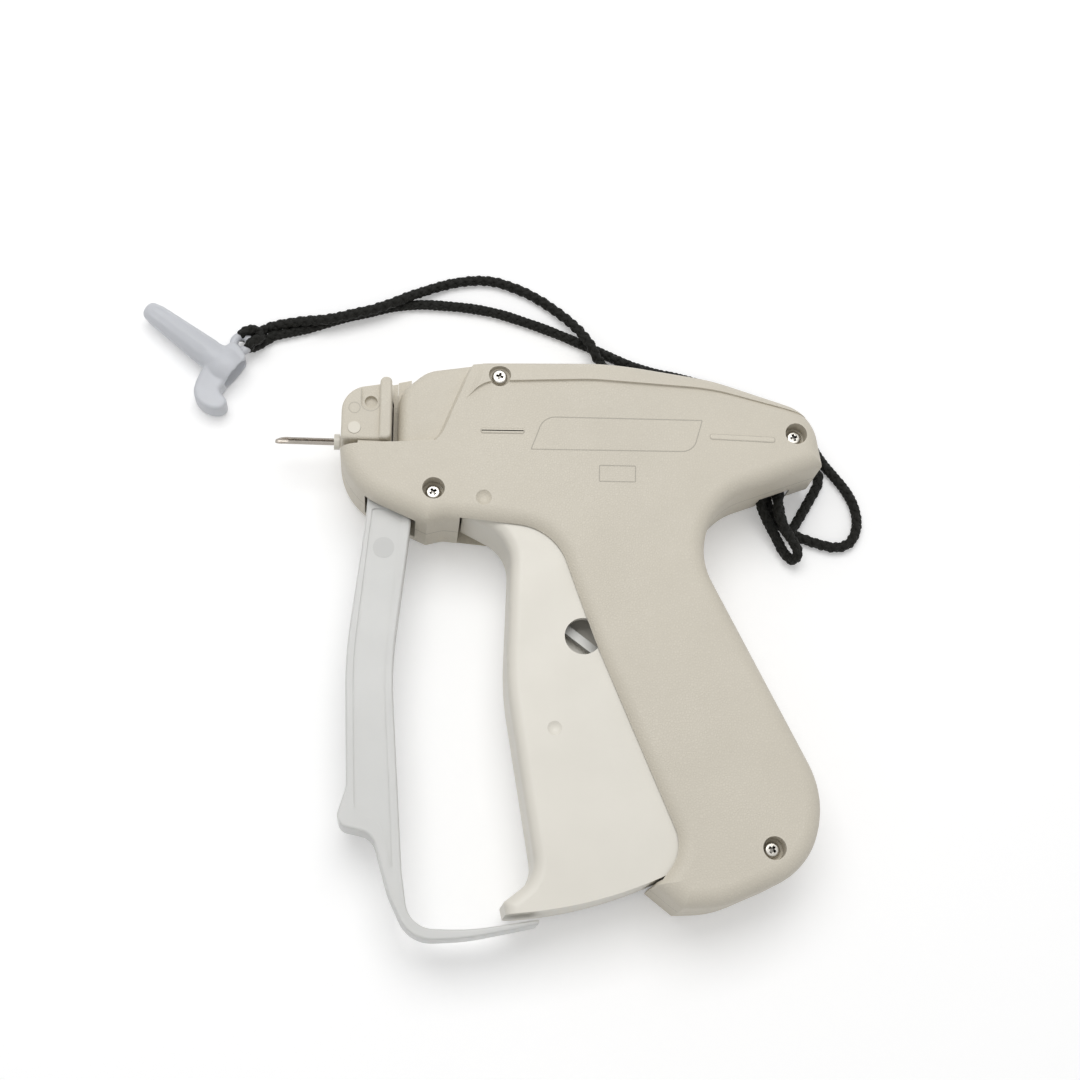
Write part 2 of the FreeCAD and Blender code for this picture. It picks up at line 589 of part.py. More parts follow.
def inset_prism(name, points, inset, low, high):
    """A prism whose outline lies inside a rounded polygon by a wall."""
    sketch = outline(name + "_outline", points)
    bind(sketch, "Placement.Base.z", low)
    offset = DOC.addObject("Part::Offset2D", name + "_inset")
    offset.Source = sketch
    offset.Join = "Intersection"
    bind(offset, "Value", "-(%s)" % inset)
    return raised(name, offset, low, high)


def edges_at(obj, height, wanted):
    """Indices of the edges that lie at one height and whose middle is wanted."""
    DOC.recompute()
    found = []
    for index, edge in enumerate(obj.Shape.Edges, start=1):
        box_of = edge.BoundBox
        if abs(box_of.ZMin - height) > 1e-4 or abs(box_of.ZMax - height) > 1e-4:
            continue
        middle = edge.valueAt((edge.FirstParameter + edge.LastParameter) / 2)
        if wanted(middle):
            found.append(index)
    return found


def on_outline(points):
    """A test of whether a point lies on a rounded polygon, seen from above."""
    line = Part.Compound([edge.toShape() for edge in rounded_edges(points)])
    return lambda point: line.distToShape(Part.Vertex(point.x, point.y, 0))[0] < 0.01


def rounded(name, base, indices, radius):
    obj = DOC.addObject("Part::Fillet", name)
    obj.Base = base
    obj.Edges = [(index, radius, radius) for index in indices]
    return obj


def chamfered(name, base, indices, width, depth):
    obj = DOC.addObject("Part::Chamfer", name)
    obj.Base = base
    obj.Edges = [(index, width, depth) for index in indices]
    return obj


def dish(name, radius, depth, x, y, surface):
    """A ball that leaves a shallow round dimple of one radius and depth in a flat surface."""
    ball_radius = "((%s ^ 2 + %s ^ 2) / (2 * %s))" % (radius, depth, depth)
    ball = DOC.addObject("Part::Sphere", name)
    bind(ball, "Radius", ball_radius)
    return place(ball, x, y, "%s + %s - %s" % (surface, ball_radius, depth))


def capsule(name, start, end, radius, low, high):
    """A bar with round ends between two points given as pairs of formulas."""
    first = cylinder(name + "_start", radius, low, high, *start)
    last = cylinder(name + "_end", radius, low, high, *end)
    bar = bar_between(name + "_bar", start, end, "2 * (%s)" % radius, low, high)
    return fuse(name, first, last, bar)


def bar_between(name, start, end, width, low, high):
    """A straight bar of one width, whose centre line joins two points."""
    span_x = "((%s) - (%s))" % (end[0], start[0])
    span_y = "((%s) - (%s))" % (end[1], start[1])
    obj = DOC.addObject("Part::Box", name)
    bind(obj, "Length", "sqrt(%s ^ 2 + %s ^ 2)" % (span_x, span_y))
    bind(obj, "Width", width)
    bind(obj, "Height", "(%s) - (%s)" % (high, low))
    bind(obj, "Placement.Rotation.Angle", "atan2(%s; %s)" % (span_y, span_x))
    length = "sqrt(%s ^ 2 + %s ^ 2)" % (span_x, span_y)
    place(
        obj,
        "(%s) + (%s) / 2 * %s / %s" % (start[0], width, span_y, length),
        "(%s) - (%s) / 2 * %s / %s" % (start[1], width, span_x, length),
        low,
    )
    return obj


def bore_pair(name, pin_radius, x, y, reach):
    """The hole that a pin needs through both side faces, as deep as the pin reaches."""
    return cylinder(name, pin_radius, reach, "body_depth - face_drop - (%s)" % reach, x, y)


def finish(node, source):
    """Give a finished piece its own name and list it for export."""
    source.Label = node
    PARTS.append((node, source))
    return source


PARTS = []
PIN_REACH = "(skin / 2)"

FULL_OUTLINE = corners(
    "head_front", "nose_chin", "nose_keel", "gullet_front", "trigger_brow",
    "grip_throat", "grip_shin", "lip_front", "lip_heel", "butt_toe", "butt_heel",
    "butt_back", "grip_web", "rear_low", "rear_crown", "crown_rear", "crown_middle",
    "crown_front", "crown_low", "head_saddle",
)
RECESS_OUTLINE = corners(
    "recess_brow", "ramp_foot", "ramp_middle", "ramp_top", "recess_crown", "recess_corner"
)
RIM_OUTLINE = corners(
    "rim_front", "rim_screw", "rim_middle", "rim_rear", "rim_end", "rim_outside_rear",
    "rim_outside_front",
)
CHEEK_OUTLINE = corners(
    "cheek_low", "cheek_inside", "cheek_back", "cheek_crown", "cheek_top"
)
SLOT_OUTLINE = corners(
    "slot_front_low", "slot_low", "slot_heel", "slot_shin", "slot_throat", "slot_top",
    "slot_front",
)
MOUTH_OUTLINE = corners("mouth_left", "mouth_low_left", "mouth_low_right", "mouth_right")
TRIGGER_OUTLINE = corners(
    "trigger_nose", "trigger_cheek", "trigger_waist", "trigger_curl", "trigger_toe",
    "trigger_sole", "trigger_under", "trigger_heel", "trigger_spine_low",
    "trigger_spine", "trigger_neck", "trigger_crown", "trigger_temple",
)
HOLLOW_OUTLINE = corners(
    "trigger_nose", "trigger_cheek", "trigger_waist", "trigger_curl", "trigger_toe",
    "trigger_sole", "trigger_under", "hollow_heel", "hollow_spine", "hollow_crown",
    "hollow_temple",
)
LOCK_OUTLINE = corners("lock_toe", "lock_heel", "lock_back", "lock_front")
FIN_OUTLINE = corners("fin_toe", "fin_heel", "fin_top", "fin_front")
GUARD_OUTLINE = corners(
    "guard_root_left", "guard_neck_left", "guard_waist_left", "guard_bump_top",
    "guard_bump", "guard_shoulder", "guard_shin_left", "guard_heel_left",
    "guard_sole", "guard_tail_low", "guard_tail_high", "guard_instep",
    "guard_heel_right", "guard_shin_right",
    "guard_waist_right", "guard_neck_right", "guard_root_right",
)


# ---------------------------------------------------------------- housing
def rounded_block(name, low, high, round_height, radius):
    """The full outline between two heights, its long edge rounded on one side."""
    block = prism(name + "_block", FULL_OUTLINE, low, high)
    edges = edges_at(block, round_height, lambda point: True)
    return rounded(name, block, edges, radius)


def shared_hollows(name, low, high):
    """What is taken out of either half between two heights for the moving parts."""
    slot = common(
        name + "_slot",
        prism(name + "_slot_block", SLOT_OUTLINE, low, high),
        cylinder(name + "_slot_sweep", "trigger_reach + floor_gap", low, high),
    )
    inside = inset_prism(name + "_inside", FULL_OUTLINE, "wall", low, high)
    head = box(name + "_solid_head", ("head_back - head_reach", "head_back"),
               ("head_low", "floor_high"),
               (low + " - 1", high + " + 1"))
    return fuse(name, slot, cut(name + "_cavity", inside, head))


def head_hollows(name):
    """Pockets in the solid head, shared by both halves."""
    return [
        prism(name + "_mouth", MOUTH_OUTLINE, *about_split("guard_depth / 2 + guard_gap")),
        cylinder(
            name + "_wheel", "wheel_radius + wheel_room",
            *about_split("wheel_thickness / 2 + side_gap"), "wheel_x", "wheel_y",
        ),
        box(
            name + "_pawl", ("pawl_x - pawl_room_front", "head_back + 0.2"),
            ("pawl_y - pawl_room_low", "pawl_y + pawl_room_high"),
            about_split("pawl_thickness / 2 + pawl_room_side"),
        ),
        box(
            name + "_feed_spring", ("feed_leaf_front", "feed_leaf_back"),
            ("wheel_y + feed_room_low", "wheel_y + feed_room_high"),
            about_split("feed_leaf_reach + feed_room_side"),
        ),
        cylinder_along_x(
            name + "_rod", "rod_bore", "hub_back - 0.2", "head_back + 1", "needle_y", SPLIT,
        ),
        cylinder_along_x(
            name + "_hub", "hub_radius", "nose_chin_x - 4", "hub_back", "needle_y", SPLIT,
        ),
        box(
            name + "_guide", ("guide_left", "guide_right"),
            ("guide_low", "guide_high + guide_lead"),
            ("body_depth / 2 - guide_sink - guide_depth", "body_depth / 2 + guide_roof"),
        ),
        box(
            name + "_blade", ("blade_x", "blade_x + blade_thickness"), ("blade_low", "blade_high"),
            ("body_depth / 2 - blade_sink", "body_depth / 2 + blade_reach"),
        ),
        cylinder(
            name + "_guard_pin", "guard_pin_radius", *about_split("guard_pin_reach"),
            "guard_pin_x", "guard_pin_y",
        ),
        cylinder(
            name + "_wheel_pin", "wheel_pin_radius", *about_split("wheel_pin_reach"), "wheel_x",
            "wheel_y",
        ),
    ]


def near_half():
    main = cut(
        "near_main",
        rounded_block("near_face", SPLIT, FACE, size("body_depth") - size("face_drop"),
                      size("edge_round")),
        prism("near_recess", RECESS_OUTLINE, "body_depth / 2 - 1", "body_depth + 1"),
    )
    face_height = size("body_depth") - size("face_drop")
    on_recess = on_outline(RECESS_OUTLINE)
    ramp_edges = edges_at(
        main, face_height,
        lambda point: on_recess(point) and point.x > size("ramp_foot_x"),
    )
    ramp_rise = size("cheek_drop") - size("face_drop")
    ramp = chamfered("near_ramp", main, ramp_edges, size("ramp_width"), ramp_rise)
    crown = common(
        "near_crown_rim",
        rounded_block("near_crown", SPLIT, "body_depth", size("body_depth"),
                      size("edge_round") + size("face_drop")),
        prism("near_rim_column", RIM_OUTLINE, "body_depth - rim_sink", "body_depth + 1"),
    )
    rim = cut("near_rim", crown, ramp_side(ramp_rise))
    cheek_block = prism("near_cheek_block", CHEEK_OUTLINE, SPLIT, CHEEK)
    cheek_height = size("body_depth") - size("cheek_drop")
    cheek_edges = edges_at(
        cheek_block, cheek_height,
        lambda point: point.x < size("cheek_inside_x") - 0.5 and point.y > size("cheek_low_y") + 0.5,
    )
    cheek = rounded("near_cheek", cheek_block, cheek_edges, size("cheek_round"))
    floor = common(
        "near_floor",
        prism("near_floor_block", FULL_OUTLINE, SPLIT, LOCK_LOW + " - lock_gap"),
        box("near_floor_limits", ("recess_brow_x", "cheek_low_x + near_floor_back"),
            ("cheek_low_y - near_floor_low", "floor_high"), (SPLIT + " - 1", LOCK_LOW)),
    )
    ledge = box(
        "near_ledge", ("lock_pin_x + ledge_start", "fin_heel_x"),
        ("recess_brow_y - 1", "lock_toe_y - ledge_gap"), (SPLIT, LOCK_HIGH + " - ledge_drop"),
    )
    body = fuse("near_body", ramp, rim, cheek, floor, ledge)
    hollows = shared_hollows("near_hollow", SPLIT, CAVITY_HIGH)
    under_cheek = box(
        "near_under_cheek", ("head_back - 1", "ramp_top_x + under_cheek_back"),
        ("ramp_foot_y - under_cheek_low", "floor_high"),
        (CHEEK + " - skin - under_cheek_skin", "body_depth + 1"),
    )
    cavity = cut("near_cavity", hollows, under_cheek)
    open_body = cut("near_open", body, cavity)
    posts = []
    tools = head_hollows("near")
    for screw, _x, _y, depth in SCREWS:
        seat = "body_depth - " + depth
        posts.append(cylinder(
            screw + "_near_post", "screw_well_radius + well_wall", SPLIT, CAVITY_HIGH,
            screw + "_x", screw + "_y",
        ))
        tools.append(cylinder(
            screw + "_well", "screw_well_radius", seat, "body_depth + 1", screw + "_x", screw + "_y",
        ))
        tools.append(cylinder(
            screw + "_near_hole", "screw_radius + screw_gap", "body_depth / 2 - 1", seat,
            screw + "_x", screw + "_y",
        ))
    posts.append(cylinder(
        "arm_near_post", "pin_boss_radius", ARM_HIGH + " + pin_boss_gap", CAVITY_HIGH, "arm_x",
        "arm_y",
    ))
    posts.extend(guide_ribs("near", "body_depth / 2 + rib_space", CAVITY_HIGH))
    tools.extend(pivot_bores("near"))
    tools.append(dish("near_gate", "gate_radius", "gate_depth", "gate_x", "gate_y", FACE))
    tools.append(box(
        "near_strip_slot", ("fin_heel_x + strip_gap", "cheek_low_x - strip_gap"),
        ("ramp_foot_y", "floor_high"), (SPLIT, LOCK_LOW),
    ))
    tools.append(cylinder(
        "near_lock_pin", "lock_pin_radius", LOCK_PIN_LOW, LOCK_LOW, "lock_pin_x", "lock_pin_y",
    ))
    inner = common(
        "near_posts", fuse("near_post_group", *posts),
        prism("near_post_limits", FULL_OUTLINE, SPLIT, CAVITY_HIGH),
    )
    return cut("near_shell", fuse("near_filled", open_body, inner), *tools)


def ramp_side(rise):
    """A block that lies on the ramp's slope, where the ramp runs on past the crown rim."""
    foot = Vector(size("rim_front_x"), size("rim_front_y"), size("body_depth") - size("face_drop"))
    along = Vector(size("rim_outside_front_x"), size("rim_outside_front_y"), foot.z) - foot
    reach = along.Length
    along.normalize()
    down = Vector(-along.y, along.x, 0) * size("ramp_width") - Vector(0, 0, rise)
    down.normalize()
    block = DOC.addObject("Part::Box", "near_ramp_side")
    block.Length = 2 * reach
    block.Width = 2 * reach
    block.Height = reach
    block.Placement = FreeCAD.Placement(
        foot - along * reach - down * reach,
        FreeCAD.Rotation(along, down, along.cross(down), "XYZ"),
    )
    return block


def guide_ribs(name, low, high):
    """Two ribs above and below the slider on one side of the tool."""
    half = "(slider_height / 2 + slide_gap)"
    span = ("rib_front", "rib_back")
    return [
        box(name + "_rib_low", span,
            ("needle_y - %s - rib_thickness" % half, "needle_y - " + half), (low, high)),
        box(name + "_rib_high", span,
            ("needle_y + " + half, "needle_y + %s + rib_thickness" % half), (low, high)),
    ]


def pivot_bores(name):
    return [
        bore_pair(name + "_pivot_bore", "pivot_radius", "0", "0", PIN_REACH),
        bore_pair(name + "_arm_bore", "arm_pin_radius", "arm_x", "arm_y", PIN_REACH),
        bore_pair(name + "_pawl_bore", "pawl_pin_radius", "pawl_x", "pawl_y", "skin"),
    ]


def far_half():
    body = rounded_block("far_body", "0", SPLIT, 0.0, size("edge_round"))
    open_body = cut("far_open", body, shared_hollows("far_hollow", CAVITY_LOW, SPLIT))
    posts = []
    tools = head_hollows("far")
    for screw, _x, _y, _depth in SCREWS:
        posts.append(cylinder(
            screw + "_far_post", "boss_radius", CAVITY_LOW, SPLIT, screw + "_x", screw + "_y",
        ))
        tools.append(cylinder(
            screw + "_far_hole", "screw_radius", "screw_foot", "body_depth", screw + "_x",
            screw + "_y",
        ))
    posts.append(cylinder(
        "arm_far_post", "pin_boss_radius", CAVITY_LOW, ARM_LOW + " - pin_boss_gap", "arm_x",
        "arm_y",
    ))
    posts.append(cylinder(
        "pawl_far_post", "pawl_boss_radius", CAVITY_LOW,
        "body_depth / 2 - pawl_thickness / 2 - side_gap", "pawl_x", "pawl_y",
    ))
    posts.append(cylinder(
        "spring_post", "spring_post_radius", CAVITY_LOW, SPLIT, "spring_post_x", "spring_post_y",
    ))
    posts.extend(guide_ribs("far", CAVITY_LOW, "body_depth / 2 - rib_space"))
    tools.extend(pivot_bores("far"))
    tools.append(box(
        "far_eye_opening", ("eye_front", "eye_back"), ("-4", "eye_y + eye_thickness"),
        (CAVITY_LOW, "eye_top"),
    ))
    inner = common(
        "far_posts", fuse("far_post_group", *posts),
        prism("far_post_limits", FULL_OUTLINE, CAVITY_LOW, SPLIT),
    )
    return cut("far_shell", fuse("far_filled", open_body, inner), *tools)


# ---------------------------------------------------------------- screws and pins
def screw(name, depth):
    """A pan-head screw with a cross recess."""
    x, y = name + "_x", name + "_y"
    seat = "body_depth - " + depth
    top = seat + " + screw_head_height"
    shank = cylinder(name + "_shank", "screw_radius", "screw_foot", seat, x, y)
    head = cylinder(name + "_head", "screw_head_radius", seat, top, x, y)
    head_top = size("body_depth") - size(depth) + size("screw_head_height")
    dome = rounded(name + "_dome", head, edges_at(head, head_top, lambda point: True),
                   size("screw_dome"))
    recess = ["-recess_reach", "recess_reach"]
    narrow = ["-recess_width / 2", "recess_width / 2"]
    cross = [
        box(
            "%s_recess_%d" % (name, number),
            tuple("%s + %s" % (x, edge) for edge in across),
            tuple("%s + %s" % (y, edge) for edge in along),
            (top + " - recess_depth", top + " + 1"),
        )
        for number, (across, along) in enumerate(((recess, narrow), (narrow, recess)))
    ]
    return cut(name + "_turned", fuse(name + "_blank", shank, dome), *cross)


def spoked_wheel():
    """The feed wheel: a disc with even notches and a bore for its pin."""
    low = "body_depth / 2 - wheel_thickness / 2"
    high = "body_depth / 2 + wheel_thickness / 2"
    disc = cylinder("wheel_disc", "wheel_radius", low, high, "wheel_x", "wheel_y")
    tools = [cylinder("wheel_bore", "wheel_pin_radius + pin_gap", low, high, "wheel_x", "wheel_y")]
    teeth = int(size("wheel_teeth"))
    for tooth in range(teeth):
        angle = 360.0 * tooth / teeth
        tools.append(cylinder(
            "wheel_notch_%d" % tooth, "wheel_notch", low, high,
            "wheel_x + wheel_radius * cos(%.1f)" % angle,
            "wheel_y + wheel_radius * sin(%.1f)" % angle,
        ))
    return cut("wheel_cut", disc, *tools)


# ---------------------------------------------------------------- trigger
LINK_LOW = ARM_HIGH + " + layer_gap"
LINK_HIGH = ARM_HIGH + " + layer_gap + link_thickness"
TRIGGER_PIN = ("trigger_pin_x", "trigger_pin_y")
LEG_PIN = ("leg_pin_x", "leg_pin_y")
ARM_PIN = ("arm_x", "arm_y")


def trigger():
    low, high = TRIGGER_LOW, TRIGGER_HIGH
    inner_low = low + " + trigger_wall"
    inner_high = high + " - trigger_wall"
    block = common(
        "trigger_block", prism("trigger_plan", TRIGGER_OUTLINE, low, high),
        cylinder("trigger_sweep", "trigger_reach", low, high),
    )

    def on_front(point):
        return point.x < size("soft_back") and size("soft_low") < point.y < size("soft_high")

    low_height = size("skin") + size("side_gap")
    high_height = size("body_depth") - size("face_drop") - size("skin") - size("side_gap")
    edges = edges_at(block, low_height, on_front) + edges_at(block, high_height, on_front)
    soft = rounded("trigger_soft", block, edges, size("trigger_round"))
    hollow = common(
        "trigger_hollow",
        inset_prism("trigger_inside", HOLLOW_OUTLINE, "trigger_front", inner_low, inner_high),
        cylinder("trigger_hollow_sweep", "trigger_reach - trigger_front", inner_low, inner_high),
    )
    spring_room = cylinder(
        "trigger_spring_room", "spring_radius + 2 * spring_wire + spring_room",
        inner_low, inner_high,
    )
    shell = cut("trigger_shell", soft, hollow, spring_room)
    hub = cylinder("trigger_hub", "trigger_hub_radius", low, high)
    cheeks = cut(
        "trigger_cheeks",
        cylinder("trigger_head", "trigger_head_radius", low, high),
        cylinder("trigger_head_room", "trigger_head_radius + 1", inner_low, inner_high),
    )
    window = cylinder(
        "trigger_window", "window_radius", inner_high + " - 1", high + " + 1", "window_x",
        "window_y",
    )
    dimple = dish("trigger_dimple", "dimple_radius", "dimple_depth", "dimple_x", "dimple_y", high)
    pivot = cylinder("trigger_pivot_bore", "pivot_radius + pin_gap", low, high)
    link_bore = cylinder(
        "trigger_link_bore", "link_pin_radius", low, high + " - pin_cover", *TRIGGER_PIN,
    )
    web_top = LINK_LOW + " - web_gap"
    web_heights = (web_top + " - web_thickness", web_top)
    web = common(
        "trigger_web", prism("trigger_web_plan", TRIGGER_OUTLINE, *web_heights),
        box("trigger_web_limits", ("0", "web_back"), ("web_low", "web_high"), web_heights),
    )
    return cut("trigger_cut", fuse("trigger_blank", shell, hub, cheeks, web), window, dimple,
               pivot, link_bore)


# ---------------------------------------------------------------- linkage
def link():
    knee = ("knee_x", "knee_y")
    blank = fuse(
        "link_blank",
        capsule("link_front", TRIGGER_PIN, knee, "link_width / 2", LINK_LOW, LINK_HIGH),
        capsule("link_rear", knee, LEG_PIN, "link_width / 2", LINK_LOW, LINK_HIGH),
        cylinder("link_eye_front", "link_eye_radius", LINK_LOW, LINK_HIGH, *TRIGGER_PIN),
        cylinder("link_eye_rear", "link_eye_radius", LINK_LOW, LINK_HIGH, *LEG_PIN),
    )
    return cut(
        "link_cut", blank,
        cylinder("link_hole_front", "link_pin_radius + pin_gap", LINK_LOW, LINK_HIGH, *TRIGGER_PIN),
        cylinder("link_hole_rear", "link_pin_radius + link_gap", LINK_LOW, LINK_HIGH, *LEG_PIN),
    )


def along_arm(distance):
    """The point at a distance along the line from the arm's pin through its fork."""
    return (
        "arm_x + (%s) * sin(arm_swing)" % distance,
        "arm_y + (%s) * cos(arm_swing)" % distance,
    )


def drive_arm():
    elbow = ("arm_elbow_x", "arm_elbow_y")
    blank = fuse(
        "arm_blank",
        capsule("arm_leg", ARM_PIN, LEG_PIN, "link_eye_radius", ARM_LOW, ARM_HIGH),
        capsule("arm_shaft", ARM_PIN, elbow, "arm_width / 2", ARM_LOW, ARM_HIGH),
        capsule("arm_bend", elbow, along_arm("fork_root"), "arm_width / 2", ARM_LOW, ARM_HIGH),
        bar_between("arm_fork", along_arm("fork_root"), along_arm("arm_tip"), "fork_width",
                    ARM_LOW, ARM_HIGH),
        cylinder("arm_hub", "pin_boss_radius + arm_hub_rim", ARM_LOW + " - arm_hub_rise",
                 ARM_HIGH + " + arm_hub_rise", *ARM_PIN),
    )
    return cut(
        "arm_cut", blank,
        cylinder("arm_bore", "arm_pin_radius + pin_gap", ARM_LOW + " - 2", ARM_HIGH + " + 2",
                 *ARM_PIN),
        cylinder("arm_leg_bore", "link_pin_radius", ARM_LOW, ARM_HIGH, *LEG_PIN),
        capsule("arm_slot", along_arm("fork_root + fork_slot_start"), along_arm("arm_tip + 5"),
                "slider_pin_radius + fork_gap", ARM_LOW, ARM_HIGH),
    )


# ---------------------------------------------------------------- slider and needle
SLIDER_FRONT = "slider_x - slider_half_slot - slider_bridge"
SLIDER_BACK = "slider_x + slider_half_slot + slider_bridge"


def slider():
    block = box(
        "slider_block", (SLIDER_FRONT, SLIDER_BACK),
        ("needle_y - slider_height / 2", "needle_y + slider_height / 2"),
        ("body_depth / 2 - slider_half_width", "body_depth / 2 + slider_half_width"),
    )
    slot = box(
        "slider_slot", ("slider_x - slider_half_slot", "slider_x + slider_half_slot"),
        ("needle_y - slider_height", "needle_y + slider_height"),
        (ARM_LOW + " - slot_gap", ARM_HIGH + " + slot_gap"),
    )
    rod_hole = cylinder_along_x(
        "slider_rod_hole", "rod_radius", SLIDER_FRONT + " - 1", SLIDER_FRONT + " + rod_seat",
        "needle_y", SPLIT,
    )
    pin_hole = cylinder(
        "slider_pin_hole", "slider_pin_radius", *about_split("slider_pin_reach"), "slider_x",
        "needle_y",
    )
    return cut("slider_cut", block, slot, rod_hole, pin_hole)


HUB_FACE = "nose_chin_x - flange_gap"
HUB_FRONT = "nose_chin_x - flange_gap - flange_length"


def square_shank(name, start):
    """The needle's square rear end, which its hub is moulded round."""
    half = "needle_shank / 2"
    return box(name, (start, "needle_root"), ("needle_y - " + half, "needle_y + " + half),
               about_split(half))


def needle():
    tube = fuse(
        "needle_tube",
        cylinder_along_x("needle_front", "needle_radius", "needle_tip", HUB_FRONT, "needle_y",
                         SPLIT),
        square_shank("needle_rear", HUB_FRONT),
    )
    bore = cylinder_along_x("needle_hollow", "needle_bore", "needle_tip - 1", "needle_root + 1",
                            "needle_y", SPLIT)
    slot = box(
        "needle_slot_cut", ("needle_tip - 1", "needle_root + 1"),
        ("needle_y - needle_slot / 2", "needle_y + needle_slot / 2"),
        (SPLIT, "body_depth / 2 + 2 * needle_radius"),
    )
    slant = DOC.addObject("Part::Box", "needle_slant")
    bind(slant, "Length", "4 * needle_point")
    bind(slant, "Width", "6 * needle_radius")
    bind(slant, "Height", "4 * needle_radius")
    slant.Placement = FreeCAD.Placement(
        Vector(), FreeCAD.Rotation(Vector(0, 1, 0), -size("needle_slant_angle")))
    place(slant, "needle_tip - needle_point / 2", "needle_y - 3 * needle_radius",
          "body_depth / 2 - needle_slant_sink * needle_radius")
    return cut("needle_cut", tube, bore, slot, slant)


def needle_hub():
    barrel = cylinder_along_x("hub_barrel", "hub_radius", HUB_FACE, "hub_back", "needle_y", SPLIT)
    flange = cylinder_along_x("hub_flange", "flange_radius", HUB_FRONT, HUB_FACE, "needle_y",
                              SPLIT)
    bore = square_shank("hub_bore", HUB_FRONT + " - 1")
    throat = cylinder_along_x("hub_throat", "needle_bore", "needle_root - 1", "hub_back + 1",
                              "needle_y", SPLIT)
    return cut("hub_cut", fuse("hub_blank", barrel, flange), bore, throat)


def needle_lock():
    plate_block = prism("lock_plate", LOCK_OUTLINE, LOCK_LOW, LOCK_HIGH)
    plate_edges = edges_at(
        plate_block, size("body_depth") - size("lock_drop"),
        lambda point: point.x < size("lock_heel_x") - 0.3,
    )
    plate = rounded("lock_plate_soft", plate_block, plate_edges, size("lock_round"))
    fin_block = prism("lock_fin", FIN_OUTLINE, LOCK_LOW, "body_depth")
    fin = rounded(
        "lock_fin_soft", fin_block,
        edges_at(fin_block, size("body_depth"), lambda point: True), size("fin_round"),
    )
    groove_floor = LOCK_HIGH + " - groove_depth"
    groove = capsule(
        "lock_groove", ("groove_x", "groove_y"), ("groove_x", "groove_y + groove_length"), "groove_radius",
        groove_floor, LOCK_HIGH + " + 1",
    )
    dent = cylinder("lock_dent", "dent_radius", groove_floor + " - dent_depth", LOCK_HIGH,
                    "dent_x", "dent_y")
    bore = cylinder("lock_bore", "lock_pin_radius + pin_gap", LOCK_LOW + " - 1",
                    LOCK_HIGH + " + 1", "lock_pin_x", "lock_pin_y")
    return cut("lock_cut", fuse("lock_blank", plate, fin), groove, dent, bore)


def clip_guide():
    top = "body_depth / 2 - guide_sink"
    block = common(
        "guide_block",
        box("guide_bar", ("guide_left", "guide_right"), ("guide_low", "guide_high"),
            (top + " - guide_depth", top)),
        prism("guide_limits", FULL_OUTLINE, top + " - guide_depth", top),
    )
    groove = box(
        "guide_groove", ("guide_left + guide_wall", "guide_right - guide_wall"),
        ("guide_low - 1", "guide_high + 1"), (top + " - guide_depth + guide_wall", top + " + 1"),
    )
    passage = cylinder_along_x("guide_passage", "rod_bore", "guide_left - 1", "guide_right + 1",
                               "needle_y", SPLIT)
    return cut("guide_cut", block, groove, passage)


def cutter_blade():
    return box(
        "blade_plate", ("blade_x", "blade_x + blade_thickness"), ("blade_low", "blade_high"),
        ("body_depth / 2 - blade_sink", "body_depth / 2 + blade_reach"),
    )


def feed_pawl():
    low = "body_depth / 2 - pawl_thickness / 2"
    high = "body_depth / 2 + pawl_thickness / 2"
    pin = ("pawl_x", "pawl_y")
    blank = fuse(
        "pawl_blank",
        cylinder("pawl_eye", "pawl_boss_radius", low, high, *pin),
        capsule("pawl_finger", pin, ("pawl_x + pawl_finger_x", "pawl_y + pawl_finger_y"),
                "pawl_arm_radius", low, high),
        capsule("pawl_tail", pin, ("pawl_x + pawl_tail_x", "pawl_y + pawl_tail_y"),
                "pawl_arm_radius", low, high),
    )
    return cut("pawl_cut", blank,
               cylinder("pawl_bore", "pawl_pin_radius + pin_gap", low, high, *pin))


def feed_spring():
    """A leaf with a bump that clicks into the feed wheel's notches."""
    low, high = about_split("feed_leaf_reach")
    base_y = "wheel_y + wheel_radius + feed_leaf_gap"
    leaf = box("feed_leaf", ("feed_leaf_front", "feed_leaf_back"),
               (base_y, base_y + " + feed_leaf_thickness"), (low, high))
    bump = cylinder("feed_bump", "feed_bump_radius", low, high, "wheel_x", base_y)
    return fuse("feed_spring_form", leaf, bump)


# ---------------------------------------------------------------- springs and stops
def straight_rod(name, start, end, radius):
    """A round rod between two points."""
    obj = DOC.addObject("Part::Cylinder", name)
    bind(obj, "Radius", radius)
    line = end - start
    obj.Height = line.Length
    obj.Placement = FreeCAD.Placement(start, FreeCAD.Rotation(Vector(0, 0, 1), line))
    return obj


def return_spring():
    coils = []
    turns = int(size("spring_turns"))
    for turn in range(turns):
        coil = DOC.addObject("Part::Torus", "spring_coil_%d" % turn)
        bind(coil, "Radius1", "spring_radius")
        bind(coil, "Radius2", "spring_wire")
        bind(coil, "Placement.Base.z",
             "body_depth / 2 + spring_pitch * (%d - (spring_turns - 1) / 2)" % turn)
        coils.append(coil)
    reach = size("spring_pitch") * (turns - 1) / 2
    radius = size("spring_radius")
    low = size("body_depth") / 2 - reach
    high = size("body_depth") / 2 + reach
    foot = Vector(size("spring_foot_x"), size("spring_foot_y"), low)
    leg_down = straight_rod("spring_leg_down", Vector(radius, 0, low), foot, "spring_leg_wire")
    leg_back = straight_rod("spring_leg_back", Vector(0, radius, high),
                            Vector(size("spring_leg"), radius, high), "spring_leg_wire")
    return fuse("spring_form", leg_down, leg_back, *coils)


